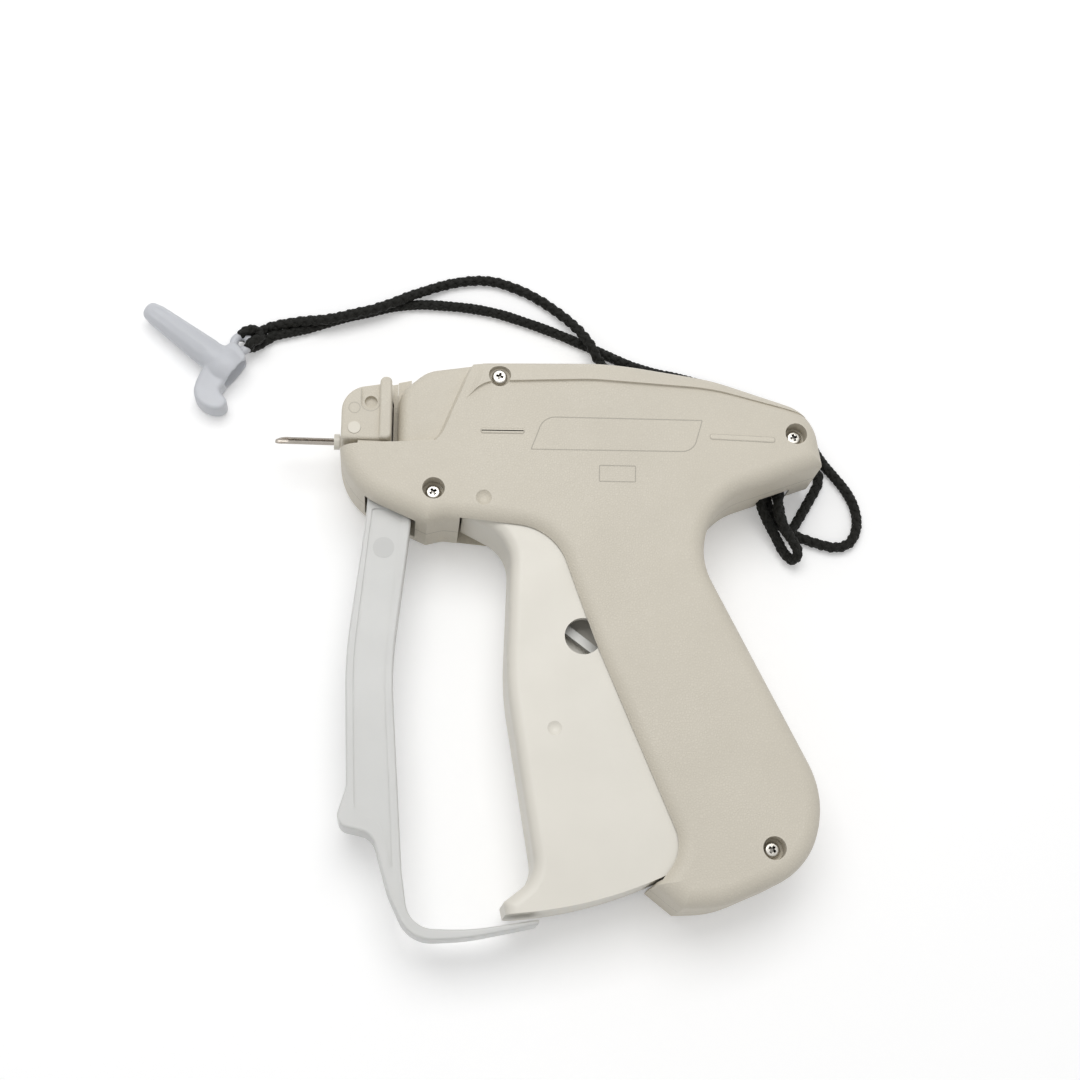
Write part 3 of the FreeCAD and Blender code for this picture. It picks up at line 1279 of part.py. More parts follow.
def stop_pad():
    """A rubber block on the inside of the grip's back wall."""
    top, bottom = corners("grip_web", "butt_back")
    along = (bottom[0] - top[0]).normalize()
    inward = Vector(along.y, -along.x, 0)
    start = top[0] + along * size("pad_place")
    end = start + along * size("pad_length")
    middle = inward * (size("wall") + size("pad_thickness") / 2)
    return bar_between(
        "pad_block", (str((start + middle).x), str((start + middle).y)),
        (str((end + middle).x), str((end + middle).y)), "pad_thickness",
        *about_split("pad_width / 2"),
    )


# ---------------------------------------------------------------- guard
def guard():
    low, high = about_split("guard_depth / 2")
    block = prism("guard_block", GUARD_OUTLINE, low, high)
    half_depth = size("guard_depth") / 2
    long_edges = [
        index for side in (-1, 1)
        for index in edges_at(block, size("body_depth") / 2 + side * half_depth, lambda point: True)
    ]
    soft = rounded("guard_soft", block, long_edges, size("guard_round"))
    pocket = corners(
        "pocket_top_left", "pocket_waist_left", "pocket_low_left", "pocket_calf",
        "pocket_ankle", "pocket_waist_right", "pocket_top_right",
    )
    near_face = high + " - guard_sink"
    return cut(
        "guard_cut", soft,
        prism("guard_pocket_far", pocket, low + " - 1", near_face + " - guard_skin"),
        prism("guard_pocket_near", pocket, near_face, high + " + 1"),
        cylinder("guard_bore", "guard_pin_radius", low, high, "guard_pin_x", "guard_pin_y"),
    )


# ---------------------------------------------------------------- lanyard and cap
STRAND_UPPER = [
    (-60.3, 52.5, 1.6), (-53.5, 53.8, 1.6), (-44.8, 56.3, 1.6), (-36.0, 58.9, 1.6),
    (-27.3, 62.0, 1.6), (-18.2, 64.9, 1.6), (-11.5, 67.6, 1.6), (-4.6, 69.3, 1.6),
    (2.0, 69.6, 1.6), (8.0, 67.9, 1.6), (14.0, 65.3, 1.6), (19.5, 61.6, 1.8),
    (23.7, 58.0, 2.4), (27.0, 54.0, 4.0), (29.9, 49.8, 5.0), (32.2, 45.2, 3.6),
    (36.6, 41.2, 1.8), (45.5, 39.2, 1.6), (57.0, 37.3, 1.6), (68.5, 34.2, 1.6),
    (79.0, 30.4, 1.6), (86.6, 26.6, 1.6), (91.2, 20.6, 1.6), (93.8, 14.0, 1.6),
    (93.6, 8.6, 1.6), (92.0, 3.8, 1.8), (89.2, -2.0, 3.4), (82.9, 0.4, 3.9),
    (82.0, 6.4, 3.9),
]
STRAND_LOWER = [
    (-59.7, 49.5, 1.6), (-52.9, 50.8, 1.6), (-44.0, 53.3, 1.6), (-35.0, 55.8, 1.6),
    (-26.3, 58.8, 1.6), (-18.8, 60.6, 1.6), (-12.0, 61.2, 1.6), (-4.5, 60.8, 1.6),
    (3.5, 59.6, 1.6), (11.5, 57.1, 1.6), (19.5, 54.3, 1.6), (25.5, 51.8, 1.6),
    (31.5, 49.2, 1.6), (37.5, 46.4, 1.6), (45.5, 43.2, 1.6), (57.0, 41.1, 1.6),
    (69.3, 37.8, 1.6), (80.5, 33.9, 1.6), (88.8, 29.8, 1.6), (94.0, 23.8, 1.6),
    (97.4, 17.2, 1.6), (101.0, 11.8, 1.6), (103.6, 6.6, 1.6), (104.7, 1.0, 1.6),
    (103.6, -4.2, 1.6), (99.8, -7.3, 1.6), (95.2, -7.6, 1.6), (91.0, -6.4, 1.6),
    (86.6, -5.0, 1.8), (80.2, -0.8, 2.6), (78.4, 6.4, 3.8),
]
STRAND_BIGHT = [
    (78.4, 6.4, 7.2), (79.4, -0.6, 7.4), (81.7, -7.9, 5.6), (85.5, -8.9, 4.6),
    (88.2, -6.1, 5.6), (85.6, 1.0, 7.8), (82.0, 6.4, 7.2),
]
# direction in which the strands are drawn from the cap's ring
HITCH_PULL = (0.85, 0.53, 0.0)


def cord(name, route):
    """A round cord: straight runs joined by tangent arcs, swept with one section."""
    points = [Vector(*point) for point in route]
    edges = []
    radii = []
    here = points[0]
    for index in range(1, len(points) - 1):
        before = points[index] - points[index - 1]
        after = points[index + 1] - points[index]
        reach = 0.45 * min(before.Length, after.Length)
        before.normalize()
        after.normalize()
        half_turn = before.getAngle(after) / 2
        radius = reach / math.tan(half_turn)
        radii.append(radius)
        towards = (after - before).normalize()
        entry = points[index] - before * reach
        leave = points[index] + after * reach
        middle = points[index] + towards * (radius / math.cos(half_turn) - radius)
        edges.append(Part.makeLine(here, entry))
        edges.append(Part.Arc(entry, middle, leave).toShape())
        here = leave
    edges.append(Part.makeLine(here, points[-1]))
    spine = Part.Wire(edges)
    section = Part.Wire(Part.makeCircle(size("cord_diameter") / 2, points[0],
                                        (points[1] - points[0]).normalize()))
    tube = spine.makePipeShell([section], True, False)
    ideal = spine.Length * math.pi * size("cord_diameter") ** 2 / 4
    print("%s length %.1f, tightest arc %.1f, widest arc %.0f, volume ratio %.4f" % (
        name, spine.Length, min(radii), max(radii), tube.Volume / ideal))
    obj = DOC.addObject("Part::Feature", name + "_tube")
    obj.Shape = tube
    return obj


def needle_cap():
    """The cap in its own frame: +X from its mouth to its tip, +Y towards its tab."""
    cone = DOC.addObject("Part::Cone", "cap_cone")
    bind(cone, "Radius1", "cap_base_radius")
    bind(cone, "Radius2", "cap_tip_radius")
    bind(cone, "Height", "cap_length - cap_cup_width / 2")
    cone.Placement = FreeCAD.Placement(Vector(), FreeCAD.Rotation(Vector(0, 1, 0), 90))
    place(cone, "cap_cup_width / 2", "0", "cap_axis")
    tip = DOC.addObject("Part::Sphere", "cap_tip")
    bind(tip, "Radius", "cap_tip_radius")
    place(tip, "cap_length", "0", "cap_axis")
    cup = capsule(
        "cap_cup", ("cap_cup_width / 2", "-(cap_cup_near - cap_cup_width / 2)"),
        ("cap_cup_width / 2", "cap_cup_tab - cap_cup_width / 2"), "cap_cup_width / 2",
        "cap_axis - cap_cup_height / 2", "cap_axis + cap_cup_height / 2",
    )
    tab = cylinder("cap_tab", "cap_tab_radius", "cap_axis - cap_cup_height / 2",
                   "cap_axis - cap_cup_height / 2 + cap_tab_height", "cap_cup_width / 2 - cap_tab_front",
                   "cap_cup_tab - cap_tab_in")
    ring = DOC.addObject("Part::Torus", "cap_ring")
    bind(ring, "Radius1", "cap_ring_radius")
    bind(ring, "Radius2", "cap_ring_wire")
    place(ring, "cap_cup_width / 2 + cap_ring_back", "-(cap_cup_near + cap_ring_radius)", "cap_axis")
    bore = cylinder_along_x("cap_hollow", "cap_bore", "-1", "cap_bore_depth", "0", "cap_axis")
    mouth = cylinder_along_x("cap_mouth", "cap_mouth_radius", "-1", "cap_mouth_depth", "0",
                             "cap_axis")
    form = cut("cap_form", fuse("cap_blank", cone, tip, cup, tab, ring), bore, mouth)
    bind(form, "Placement.Rotation.Angle", "cap_angle * 1 deg")
    return place(form, "cap_mouth_x", "cap_mouth_y", "0")


def cap_hitch():
    """The lanyard's turn round the cap's ring and the knot that draws it tight."""
    angle = math.radians(size("cap_angle"))
    axis = Vector(math.cos(angle), math.sin(angle), 0)
    side = Vector(-axis.y, axis.x, 0)
    mouth = Vector(size("cap_mouth_x"), size("cap_mouth_y"), size("cap_axis"))
    centre = (mouth + axis * (size("cap_cup_width") / 2 + size("cap_ring_back"))
              - side * (size("cap_cup_near") + size("cap_ring_radius")))
    pull = Vector(*HITCH_PULL).normalize()
    turn = DOC.addObject("Part::Torus", "hitch_turn")
    bind(turn, "Radius1", "hitch_radius")
    bind(turn, "Radius2", "hitch_cord")
    tangent = Vector(-pull.y, pull.x, 0)
    turn.Placement = FreeCAD.Placement(
        centre + pull * size("cap_ring_radius"), FreeCAD.Rotation(Vector(0, 0, 1), tangent))
    knot_end = (Vector(*STRAND_UPPER[0]) + Vector(*STRAND_LOWER[0])) / 2
    lead = (Vector(*STRAND_UPPER[1]) - Vector(*STRAND_UPPER[0])).normalize()
    knot = DOC.addObject("Part::Box", "hitch_knot")
    bind(knot, "Length", "hitch_knot_length")
    bind(knot, "Width", "hitch_knot_width")
    bind(knot, "Height", "hitch_knot_height")
    turned = FreeCAD.Rotation(Vector(1, 0, 0), lead)
    aside = turned.multVec(Vector(0, size("hitch_knot_width") / 2, 0))
    corner = knot_end - lead * size("hitch_knot_length") - aside
    knot.Placement = FreeCAD.Placement(
        Vector(corner.x, corner.y, size("hitch_knot_low")), turned)
    soft = rounded("hitch_knot_soft", knot, [2, 4, 6, 8], size("hitch_knot_round"))
    return fuse("hitch_form", turn, soft)


# ---------------------------------------------------------------- the pieces
def make_pieces():
    finish("near_half", near_half())
    finish("far_half", far_half())
    for name, _x, _y, depth in SCREWS:
        finish(name, screw(name, depth))
    pin_low, pin_high = PIN_REACH, "body_depth - face_drop - skin / 2"
    finish("trigger_pivot_pin", cylinder("pivot_pin", "pivot_radius", pin_low, pin_high))
    finish("drive_arm_pin", cylinder("arm_pin", "arm_pin_radius", pin_low, pin_high, *ARM_PIN))
    finish("feed_wheel_pin", cylinder(
        "wheel_pin", "wheel_pin_radius", *about_split("wheel_pin_reach"), "wheel_x", "wheel_y"))
    finish("feed_pawl_pin", cylinder(
        "pawl_pin", "pawl_pin_radius", CAVITY_LOW, "body_depth / 2 + pawl_pin_reach", "pawl_x",
        "pawl_y"))
    finish("guard_pin", cylinder(
        "guard_pin_rod", "guard_pin_radius", *about_split("guard_pin_reach"), "guard_pin_x",
        "guard_pin_y"))
    finish("lock_pin", cylinder(
        "lock_pin_rod", "lock_pin_radius", LOCK_PIN_LOW, LOCK_HIGH + " + lock_pin_head",
        "lock_pin_x", "lock_pin_y"))
    finish("trigger", trigger())
    finish("link_pin_front", cylinder(
        "front_pin", "link_pin_radius", TRIGGER_LOW + " + front_pin_sink", TRIGGER_HIGH + " - pin_cover",
        *TRIGGER_PIN))
    finish("link", link())
    finish("drive_arm", drive_arm())
    finish("link_pin_rear",
           cylinder("rear_pin", "link_pin_radius", ARM_LOW, LINK_HIGH + " + rear_pin_reach", *LEG_PIN))
    finish("slider", slider())
    finish("slider_pin", cylinder(
        "fork_pin", "slider_pin_radius", *about_split("slider_pin_reach"), "slider_x",
        "needle_y"))
    finish("push_rod", cylinder_along_x("rod", "rod_radius", "rod_front",
                                        SLIDER_FRONT + " + rod_seat", "needle_y", SPLIT))
    finish("needle", needle())
    finish("needle_hub", needle_hub())
    finish("needle_lock", needle_lock())
    finish("clip_guide", clip_guide())
    finish("cutter_blade", cutter_blade())
    finish("feed_wheel", spoked_wheel())
    finish("feed_pawl", feed_pawl())
    finish("feed_spring", feed_spring())
    finish("return_spring", return_spring())
    finish("stop_pad", stop_pad())
    finish("guard", guard())
    finish("lanyard_eye", box(
        "eye_plate", ("eye_front", "eye_back"), ("eye_y", "eye_y + eye_thickness"),
        (CAVITY_LOW, "eye_top")))
    finish("needle_cap", needle_cap())
    finish("cap_hitch", cap_hitch())
    finish("lanyard_upper", cord("lanyard_upper", STRAND_UPPER))
    finish("lanyard_lower", cord("lanyard_lower", STRAND_LOWER))
    finish("lanyard_bight", cord("lanyard_bight", STRAND_BIGHT))


def export_parts():
    DOC.recompute()
    os.makedirs("parts", exist_ok=True)
    for obj in DOC.Objects:
        if "Invalid" in obj.State or "Error" in obj.State:
            raise RuntimeError("%s could not be made" % obj.Name)
    for node, source in PARTS:
        shape = source.Shape
        if shape.isNull() or not shape.isValid():
            raise RuntimeError("%s is not a valid shape" % node)
        print(node, "solids", len(shape.Solids), "volume", round(shape.Volume, 1))
        shape.exportStep("parts/%s.step" % node)


make_pieces()
export_parts()
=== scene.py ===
"""Garment tag attacher: the finishes, braided lanyard and moulded details of the tool.

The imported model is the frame: metres, +X from the needle to the back of the body, +Y up
to the crown, +Z through the thickness of the tool, which lies on its side.
"""
import math

import bmesh
import bpy
from mathutils import Matrix, Vector


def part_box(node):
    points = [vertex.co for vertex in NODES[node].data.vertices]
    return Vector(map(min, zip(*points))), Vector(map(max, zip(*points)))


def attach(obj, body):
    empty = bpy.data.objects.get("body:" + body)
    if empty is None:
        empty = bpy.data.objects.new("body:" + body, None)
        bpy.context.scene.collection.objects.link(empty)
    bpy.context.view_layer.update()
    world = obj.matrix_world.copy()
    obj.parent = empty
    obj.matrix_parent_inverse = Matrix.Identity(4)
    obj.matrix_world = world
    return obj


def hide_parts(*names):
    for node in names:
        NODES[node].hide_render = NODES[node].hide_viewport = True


bl_info = {
    "name": "Garment tag attacher",
    "version": (1, 0, 0),
    "blender": (4, 5, 0),
    "location": "3D View > Sidebar > Tag attacher",
    "description": "Moulded, metal and braided pieces of a garment tag attacher",
    "category": "Object",
}

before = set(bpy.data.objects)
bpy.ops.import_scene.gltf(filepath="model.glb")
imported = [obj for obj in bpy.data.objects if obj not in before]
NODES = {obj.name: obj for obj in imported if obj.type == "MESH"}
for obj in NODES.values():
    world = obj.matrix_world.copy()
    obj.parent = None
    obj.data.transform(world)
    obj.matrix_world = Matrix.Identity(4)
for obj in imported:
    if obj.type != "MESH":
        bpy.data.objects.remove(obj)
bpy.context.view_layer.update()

MM = 0.001
BODY_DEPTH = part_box("near_half")[1].z
SPLIT = BODY_DEPTH / 2
CROWN_RIM = 0.9 * MM
LOCK_DROP = 1.5 * MM
MAIN_FACE = BODY_DEPTH - CROWN_RIM
LOCK_FACE = BODY_DEPTH - LOCK_DROP


# ---- what a user may change
def length_property(name, description, default):
    return bpy.props.FloatProperty(
        name=name, description=description, default=default, unit="LENGTH",
    )


def colour_property(name, description, default):
    return bpy.props.FloatVectorProperty(
        name=name, description=description, default=default, subtype="COLOR", size=3,
        min=0.0, max=1.0,
    )


class TagToolSizes(bpy.types.PropertyGroup):
    """Sizes of the pieces that the scene adds, the grain, and the levels of light."""

    cord_diameter: length_property(
        "Cord diameter", "Diameter of the braided lanyard", 3.0 * MM)
    braid_pitch: length_property(
        "Braid pitch", "Length in which a strand goes once round the lanyard", 8.4 * MM)
    strand_radius: length_property(
        "Strand radius", "Radius of one strand of the braid", 0.80 * MM)
    mark_height: length_property(
        "Mark height", "Height of the raised bars on the near face", 0.30 * MM)
    # The line round a plate is a darker strip of painted shade along its edge.
    line_width: length_property(
        "Line width", "Width of the fine line round a bare plate", 0.26 * MM)
    cap_voxel: length_property(
        "Cap grain", "Fineness to which the soft forms of the cap are blended", 0.24 * MM)
    grain_cells: bpy.props.FloatProperty(
        name="Grain", description="Cells of the moulded leather grain in a metre",
        default=1500.0,
    )
    lamp_power: bpy.props.FloatProperty(
        name="Lamp power", description="Power of the broad lamp over the tool",
        default=4.2, unit="POWER",
    )
    sky_level: bpy.props.FloatProperty(
        name="Sky level", description="Level of the even light from all round",
        default=0.52,
    )


class TagToolColours(bpy.types.PropertyGroup):
    """Colours of the finishes, in linear light."""

    housing: colour_property(
        "Housing", "Warm grey-beige of the moulded halves", (0.652, 0.606, 0.512))
    housing_edge: colour_property(
        "Housing edge", "Paler tone where the housing's edges are rubbed", (0.70, 0.66, 0.57))
    trigger: colour_property("Trigger", "Light cream of the trigger", (0.765, 0.735, 0.660))
    guard: colour_property("Guard", "Milky plastic of the finger guard", (0.79, 0.79, 0.77))
    cap: colour_property("Cap", "Cloudy plastic of the needle cap", (0.695, 0.71, 0.745))
    hub: colour_property("Hub", "Off-white of the needle's hub", (0.72, 0.69, 0.62))
    # Painted shade: the guide's grey-brown is darkened to stand for the shade in the slot.
    guide: colour_property("Guide", "Grey-brown of the clip guide", (0.36, 0.31, 0.26))
    lock_pin: colour_property("Lock pin", "Cream of the round pin", (0.70, 0.66, 0.57))
    acetal: colour_property("Acetal", "Natural white of the inner parts", (0.78, 0.78, 0.75))
    nickel: colour_property("Nickel", "Dull nickel of the screws", (0.50, 0.48, 0.44))
    needle: colour_property("Needle", "Brownish steel of the needle", (0.40, 0.365, 0.325))
    steel: colour_property("Steel", "Bright steel of pins and springs", (0.60, 0.60, 0.60))
    rubber: colour_property("Rubber", "Black rubber of the stop", (0.030, 0.030, 0.030))
    cord: colour_property("Cord", "Black yarn of the lanyard", (0.0050, 0.0050, 0.0038))
    floor: colour_property("Floor", "Pale studio floor", (0.88, 0.88, 0.88))


def sizes():
    return bpy.context.scene.tag_tool_sizes


def colours():
    return bpy.context.scene.tag_tool_colours


# ---- node trees
def feed(tree, socket, value):
    """Link an output to a socket, or set the socket to a constant."""
    if isinstance(value, bpy.types.NodeSocket):
        tree.links.new(value, socket)
    else:
        socket.default_value = value


def add_node(tree, kind, inputs=None, **settings):
    """A node with its settings, whose inputs are values or other nodes' outputs."""
    made = tree.nodes.new(kind)
    for name, value in settings.items():
        setattr(made, name, value)
    for name, value in (inputs or {}).items():
        feed(tree, made.inputs[name], value)
    return made


def maths(tree, operation, first, second=0.0):
    return add_node(
        tree, "ShaderNodeMath", {0: first, 1: second}, operation=operation,
    ).outputs[0]


def vector_maths(tree, operation, first, second):
    return add_node(tree, "ShaderNodeVectorMath", {0: first, 1: second}, operation=operation)


def brightened(tree, colour, value):
    return add_node(
        tree, "ShaderNodeHueSaturation", {"Value": value, "Color": colour},
    ).outputs["Color"]


def noise(tree, vector, scale, detail, roughness=0.5):
    return add_node(
        tree, "ShaderNodeTexNoise",
        {"Vector": vector, "Scale": scale, "Detail": detail, "Roughness": roughness},
    ).outputs


def remapped(tree, value, low, high, to_low, to_high, smooth=False):
    """A value moved from one span to another, held at the ends."""
    return add_node(
        tree, "ShaderNodeMapRange",
        {"Value": value, "From Min": low, "From Max": high, "To Min": to_low, "To Max": to_high},
        interpolation_type="SMOOTHSTEP" if smooth else "LINEAR",
    ).outputs["Result"]


def new_effect(name, inputs, outputs):
    """An empty node group with its named sockets, and the two nodes at its ends."""
    tree = bpy.data.node_groups.new(name, "ShaderNodeTree")
    for label, kind, default in inputs:
        socket = tree.interface.new_socket(label, in_out="INPUT", socket_type=kind)
        if default is not None:
            socket.default_value = default
    for label, kind in outputs:
        tree.interface.new_socket(label, in_out="OUTPUT", socket_type=kind)
    start = tree.nodes.new("NodeGroupInput")
    end = tree.nodes.new("NodeGroupOutput")
    return tree, start.outputs, end.inputs


VECTOR = "NodeSocketVector"
FLOAT = "NodeSocketFloat"
COLOUR = "NodeSocketColor"


def leather_grain():
    """Fine leather-like cells, as spark-eroded into a mould."""
    tree, given, result = new_effect(
        "Leather grain",
        [("Vector", VECTOR, None), ("Cells", FLOAT, 1500.0), ("Crease", FLOAT, 0.28)],
        [("Height", FLOAT), ("Crease mask", FLOAT)],
    )
    drift_scale = maths(tree, "MULTIPLY", given["Cells"], 0.55)
    drift = noise(tree, given["Vector"], drift_scale, 1.0)["Color"]
    push = vector_maths(tree, "MULTIPLY", drift, (0.5 * MM, 0.5 * MM, 0.5 * MM)).outputs[0]
    moved = vector_maths(tree, "ADD", given["Vector"], push).outputs[0]
    cells = add_node(
        tree, "ShaderNodeTexVoronoi", {"Vector": moved, "Scale": given["Cells"]},
        feature="DISTANCE_TO_EDGE",
    )
    pillow = remapped(
        tree, cells.outputs["Distance"], 0.0, given["Crease"], 0.0, 1.0, smooth=True)
    dust_scale = maths(tree, "MULTIPLY", given["Cells"], 3.1)
    dust = noise(tree, given["Vector"], dust_scale, 2.0)["Fac"]
    height = maths(tree, "ADD", pillow, maths(tree, "MULTIPLY", dust, 0.35))
    tree.links.new(height, result["Height"])
    tree.links.new(maths(tree, "SUBTRACT", 1.0, pillow), result["Crease mask"])
    return tree


def cloudy_colour():
    """A colour that drifts a little lighter and darker over the surface."""
    tree, given, result = new_effect(
        "Cloudy colour",
        [("Vector", VECTOR, None), ("Colour", COLOUR, (0.5, 0.5, 0.5, 1.0)),
         ("Scale", FLOAT, 40.0), ("Drift", FLOAT, 0.03)],
        [("Colour", COLOUR), ("Cloud", FLOAT)],
    )
    cloud = noise(tree, given["Vector"], given["Scale"], 4.0, 0.6)["Fac"]
    centred = remapped(tree, cloud, 0.3, 0.7, -1.0, 1.0)
    level = maths(tree, "ADD", maths(tree, "MULTIPLY", centred, given["Drift"]), 1.0)
    tree.links.new(brightened(tree, given["Colour"], level), result["Colour"])
    tree.links.new(cloud, result["Cloud"])
    return tree


def edge_wear():
    """A mask that picks out edges which hands and cloth rub, broken up by noise."""
    tree, given, result = new_effect(
        "Edge wear",
        [("Vector", VECTOR, None), ("Radius", FLOAT, 0.6 * MM), ("Scale", FLOAT, 300.0),
         ("Amount", FLOAT, 0.6)],
        [("Mask", FLOAT)],
    )
    bevel = add_node(tree, "ShaderNodeBevel", {"Radius": given["Radius"]}, samples=4)
    surface = add_node(tree, "ShaderNodeNewGeometry")
    facing = vector_maths(
        tree, "DOT_PRODUCT", bevel.outputs["Normal"], surface.outputs["Normal"])
    edge = remapped(tree, facing.outputs["Value"], 0.998, 0.90, 0.0, 1.0)
    patches = noise(tree, given["Vector"], given["Scale"], 3.0)["Fac"]
    broken = remapped(tree, patches, 0.35, 0.65, 0.35, 1.0)
    worn = maths(tree, "MULTIPLY", maths(tree, "MULTIPLY", edge, broken), given["Amount"])
    tree.links.new(worn, result["Mask"])
    return tree


def handled_gloss():
    """A roughness that changes where fingers have polished the surface."""
    tree, given, result = new_effect(
        "Handled gloss",
        [("Vector", VECTOR, None), ("Scale", FLOAT, 90.0), ("Low", FLOAT, 0.4),
         ("High", FLOAT, 0.55)],
        [("Roughness", FLOAT)],
    )
    patches = noise(tree, given["Vector"], given["Scale"], 5.0, 0.55)["Fac"]
    spread = remapped(tree, patches, 0.35, 0.65, given["Low"], given["High"])
    tree.links.new(spread, result["Roughness"])
    return tree


def drawn_metal():
    """Fine lines left by drawing, turning or grinding, along the vector's last axis."""
    tree, given, result = new_effect(
        "Drawn metal",
        [("Vector", VECTOR, None), ("Scale", FLOAT, 5000.0)],
        [("Height", FLOAT), ("Roughness", FLOAT)],
    )
    lines = noise(tree, given["Vector"], given["Scale"], 3.0, 0.7)["Fac"]
    tree.links.new(lines, result["Height"])
    tree.links.new(remapped(tree, lines, 0.3, 0.7, 0.18, 0.36), result["Roughness"])
    return tree


def yarn():
    """Fine fibres, some paler than others, that roughen a strand."""
    tree, given, result = new_effect(
        "Yarn",
        [("Vector", VECTOR, None), ("Colour", COLOUR, (0.01, 0.01, 0.01, 1.0)),
         ("Scale", FLOAT, 6000.0)],
        [("Colour", COLOUR), ("Height", FLOAT)],
    )
    fibres = noise(tree, given["Vector"], given["Scale"], 3.0, 0.65)["Fac"]
    bright = remapped(tree, fibres, 0.35, 0.72, 0.6, 2.4)
    tree.links.new(brightened(tree, given["Colour"], bright), result["Colour"])
    tree.links.new(fibres, result["Height"])
    return tree


EFFECT_MAKERS = {
    "Leather grain": leather_grain,
    "Cloudy colour": cloudy_colour,
    "Edge wear": edge_wear,
    "Handled gloss": handled_gloss,
    "Drawn metal": drawn_metal,
    "Yarn": yarn,
}


def effect(tree, name, inputs):
    """Place a node group, which is built the first time it is asked for."""
    group = bpy.data.node_groups.get(name) or EFFECT_MAKERS[name]()
    placed = tree.nodes.new("ShaderNodeGroup")
    placed.node_tree = group
    for label, value in inputs.items():
        feed(tree, placed.inputs[label], value)
    return placed.outputs


# ---- finishes
def new_finish(name, **constants):
    """A material with a Principled shader whose constants are set on its own sockets."""
    material = bpy.data.materials.new(name)
    material.use_nodes = True
    tree = material.node_tree
    tree.nodes.clear()
    output = tree.nodes.new("ShaderNodeOutputMaterial")
    shader = tree.nodes.new("ShaderNodeBsdfPrincipled")
    for label, value in constants.items():
        shader.inputs[label.replace("_", " ")].default_value = value
    tree.links.new(shader.outputs["BSDF"], output.inputs["Surface"])
    place = tree.nodes.new("ShaderNodeTexCoord").outputs["Object"]
    return material, tree, shader, place


def tone(colour, share=1.0):
    """A colour with its alpha, made darker or lighter by a share."""
    return (*(min(1.0, level * share) for level in colour[:3]), 1.0)


def clouded(tree, place, colour, scale, drift):
    return effect(tree, "Cloudy colour", {
        "Vector": place, "Colour": tone(colour), "Scale": scale, "Drift": drift})


def coloured(tree, shader, place, colour, scale, low, high):
    """Give a shader its colour and a handled gloss between two roughnesses."""
    gloss = effect(tree, "Handled gloss", {
        "Vector": place, "Scale": scale, "Low": low, "High": high})
    tree.links.new(colour, shader.inputs["Base Color"])
    tree.links.new(gloss["Roughness"], shader.inputs["Roughness"])


def bumped(tree, shader, height, strength, distance):
    bump = add_node(
        tree, "ShaderNodeBump",
        {"Height": height, "Strength": strength, "Distance": distance},
    )
    tree.links.new(bump.outputs["Normal"], shader.inputs["Normal"])


def mixed(tree, factor, first, second):
    return add_node(
        tree, "ShaderNodeMix", {0: factor, 6: first, 7: second}, data_type="RGBA",
    ).outputs[2]


def housing_finish(name="housing grained plastic", shade=1.0, foot=None):
    """Grained grey-beige plastic with rubbed edges and the fine line of the split.

    Painted shade darkens a foot: the span of heights in which a raised mark meets its face.
    """
    material, tree, shader, place = new_finish(name)
    plain = tone(colours().housing, shade)
    grain = effect(tree, "Leather grain", {"Vector": place, "Cells": sizes().grain_cells})
    cloud = clouded(tree, place, plain, 34.0, 0.025)
    wear = effect(tree, "Edge wear", {"Vector": place, "Radius": 0.6 * MM, "Amount": 0.55})
    creases = maths(tree, "MULTIPLY", grain["Crease mask"], 0.15)
    creased = mixed(tree, creases, cloud["Colour"], tone(plain, 0.72))
    rubbed = mixed(tree, wear["Mask"], creased, tone(colours().housing_edge, shade))
    height = add_node(tree, "ShaderNodeSeparateXYZ", {"Vector": place}).outputs["Z"]
    off_split = maths(tree, "ABSOLUTE", maths(tree, "SUBTRACT", height, SPLIT))
    seam = remapped(tree, off_split, 0.06 * MM, 0.16 * MM, 1.0, 0.0, smooth=True)
    lined = mixed(tree, maths(tree, "MULTIPLY", seam, 0.8), rubbed, tone(plain, 0.30))
    if foot:
        # Painted shade: darker towards the foot of a raised mark, where it meets the face.
        dust = remapped(tree, height, foot[0], foot[1], 0.50, 0.0, smooth=True)
        lined = mixed(tree, dust, lined, tone(plain, 0.34))
    coloured(tree, shader, place, lined, 60.0, 0.46, 0.58)
    relief = maths(
        tree, "SUBTRACT", maths(tree, "MULTIPLY", grain["Height"], 0.5),
        maths(tree, "MULTIPLY", seam, 2.0),
    )
    bumped(tree, shader, relief, 0.65, 0.13 * MM)
    return material


def smooth_plastic(name, colour, low, high, **constants):
    """Smooth moulded plastic: a faint orange-peel surface, rubbed edges and uneven gloss."""
    material, tree, shader, place = new_finish(name, **constants)
    cloud = clouded(tree, place, colour, 45.0, 0.018)
    wear = effect(tree, "Edge wear", {
        "Vector": place, "Radius": 0.5 * MM, "Scale": 420.0, "Amount": 0.35})
    rubbed = mixed(tree, wear["Mask"], cloud["Colour"], tone(colour, 1.10))
    coloured(tree, shader, place, rubbed, 75.0, low, high)
    bumped(tree, shader, noise(tree, place, 2600.0, 2.0)["Fac"], 0.12, 0.06 * MM)
    return material


def bright_metal(name, colour, scale, stretch, relief=0.10):
    """Bare metal with the fine lines of its making, stretched along one axis."""
    material, tree, shader, place = new_finish(name, Metallic=1.0)
    mapping = add_node(tree, "ShaderNodeMapping", {"Vector": place, "Scale": stretch})
    lines = effect(tree, "Drawn metal", {"Vector": mapping.outputs["Vector"], "Scale": scale})
    cloud = clouded(tree, place, colour, 700.0, 0.10)
    tree.links.new(cloud["Colour"], shader.inputs["Base Color"])
    tree.links.new(lines["Roughness"], shader.inputs["Roughness"])
    bumped(tree, shader, lines["Height"], relief, 0.03 * MM)
    return material


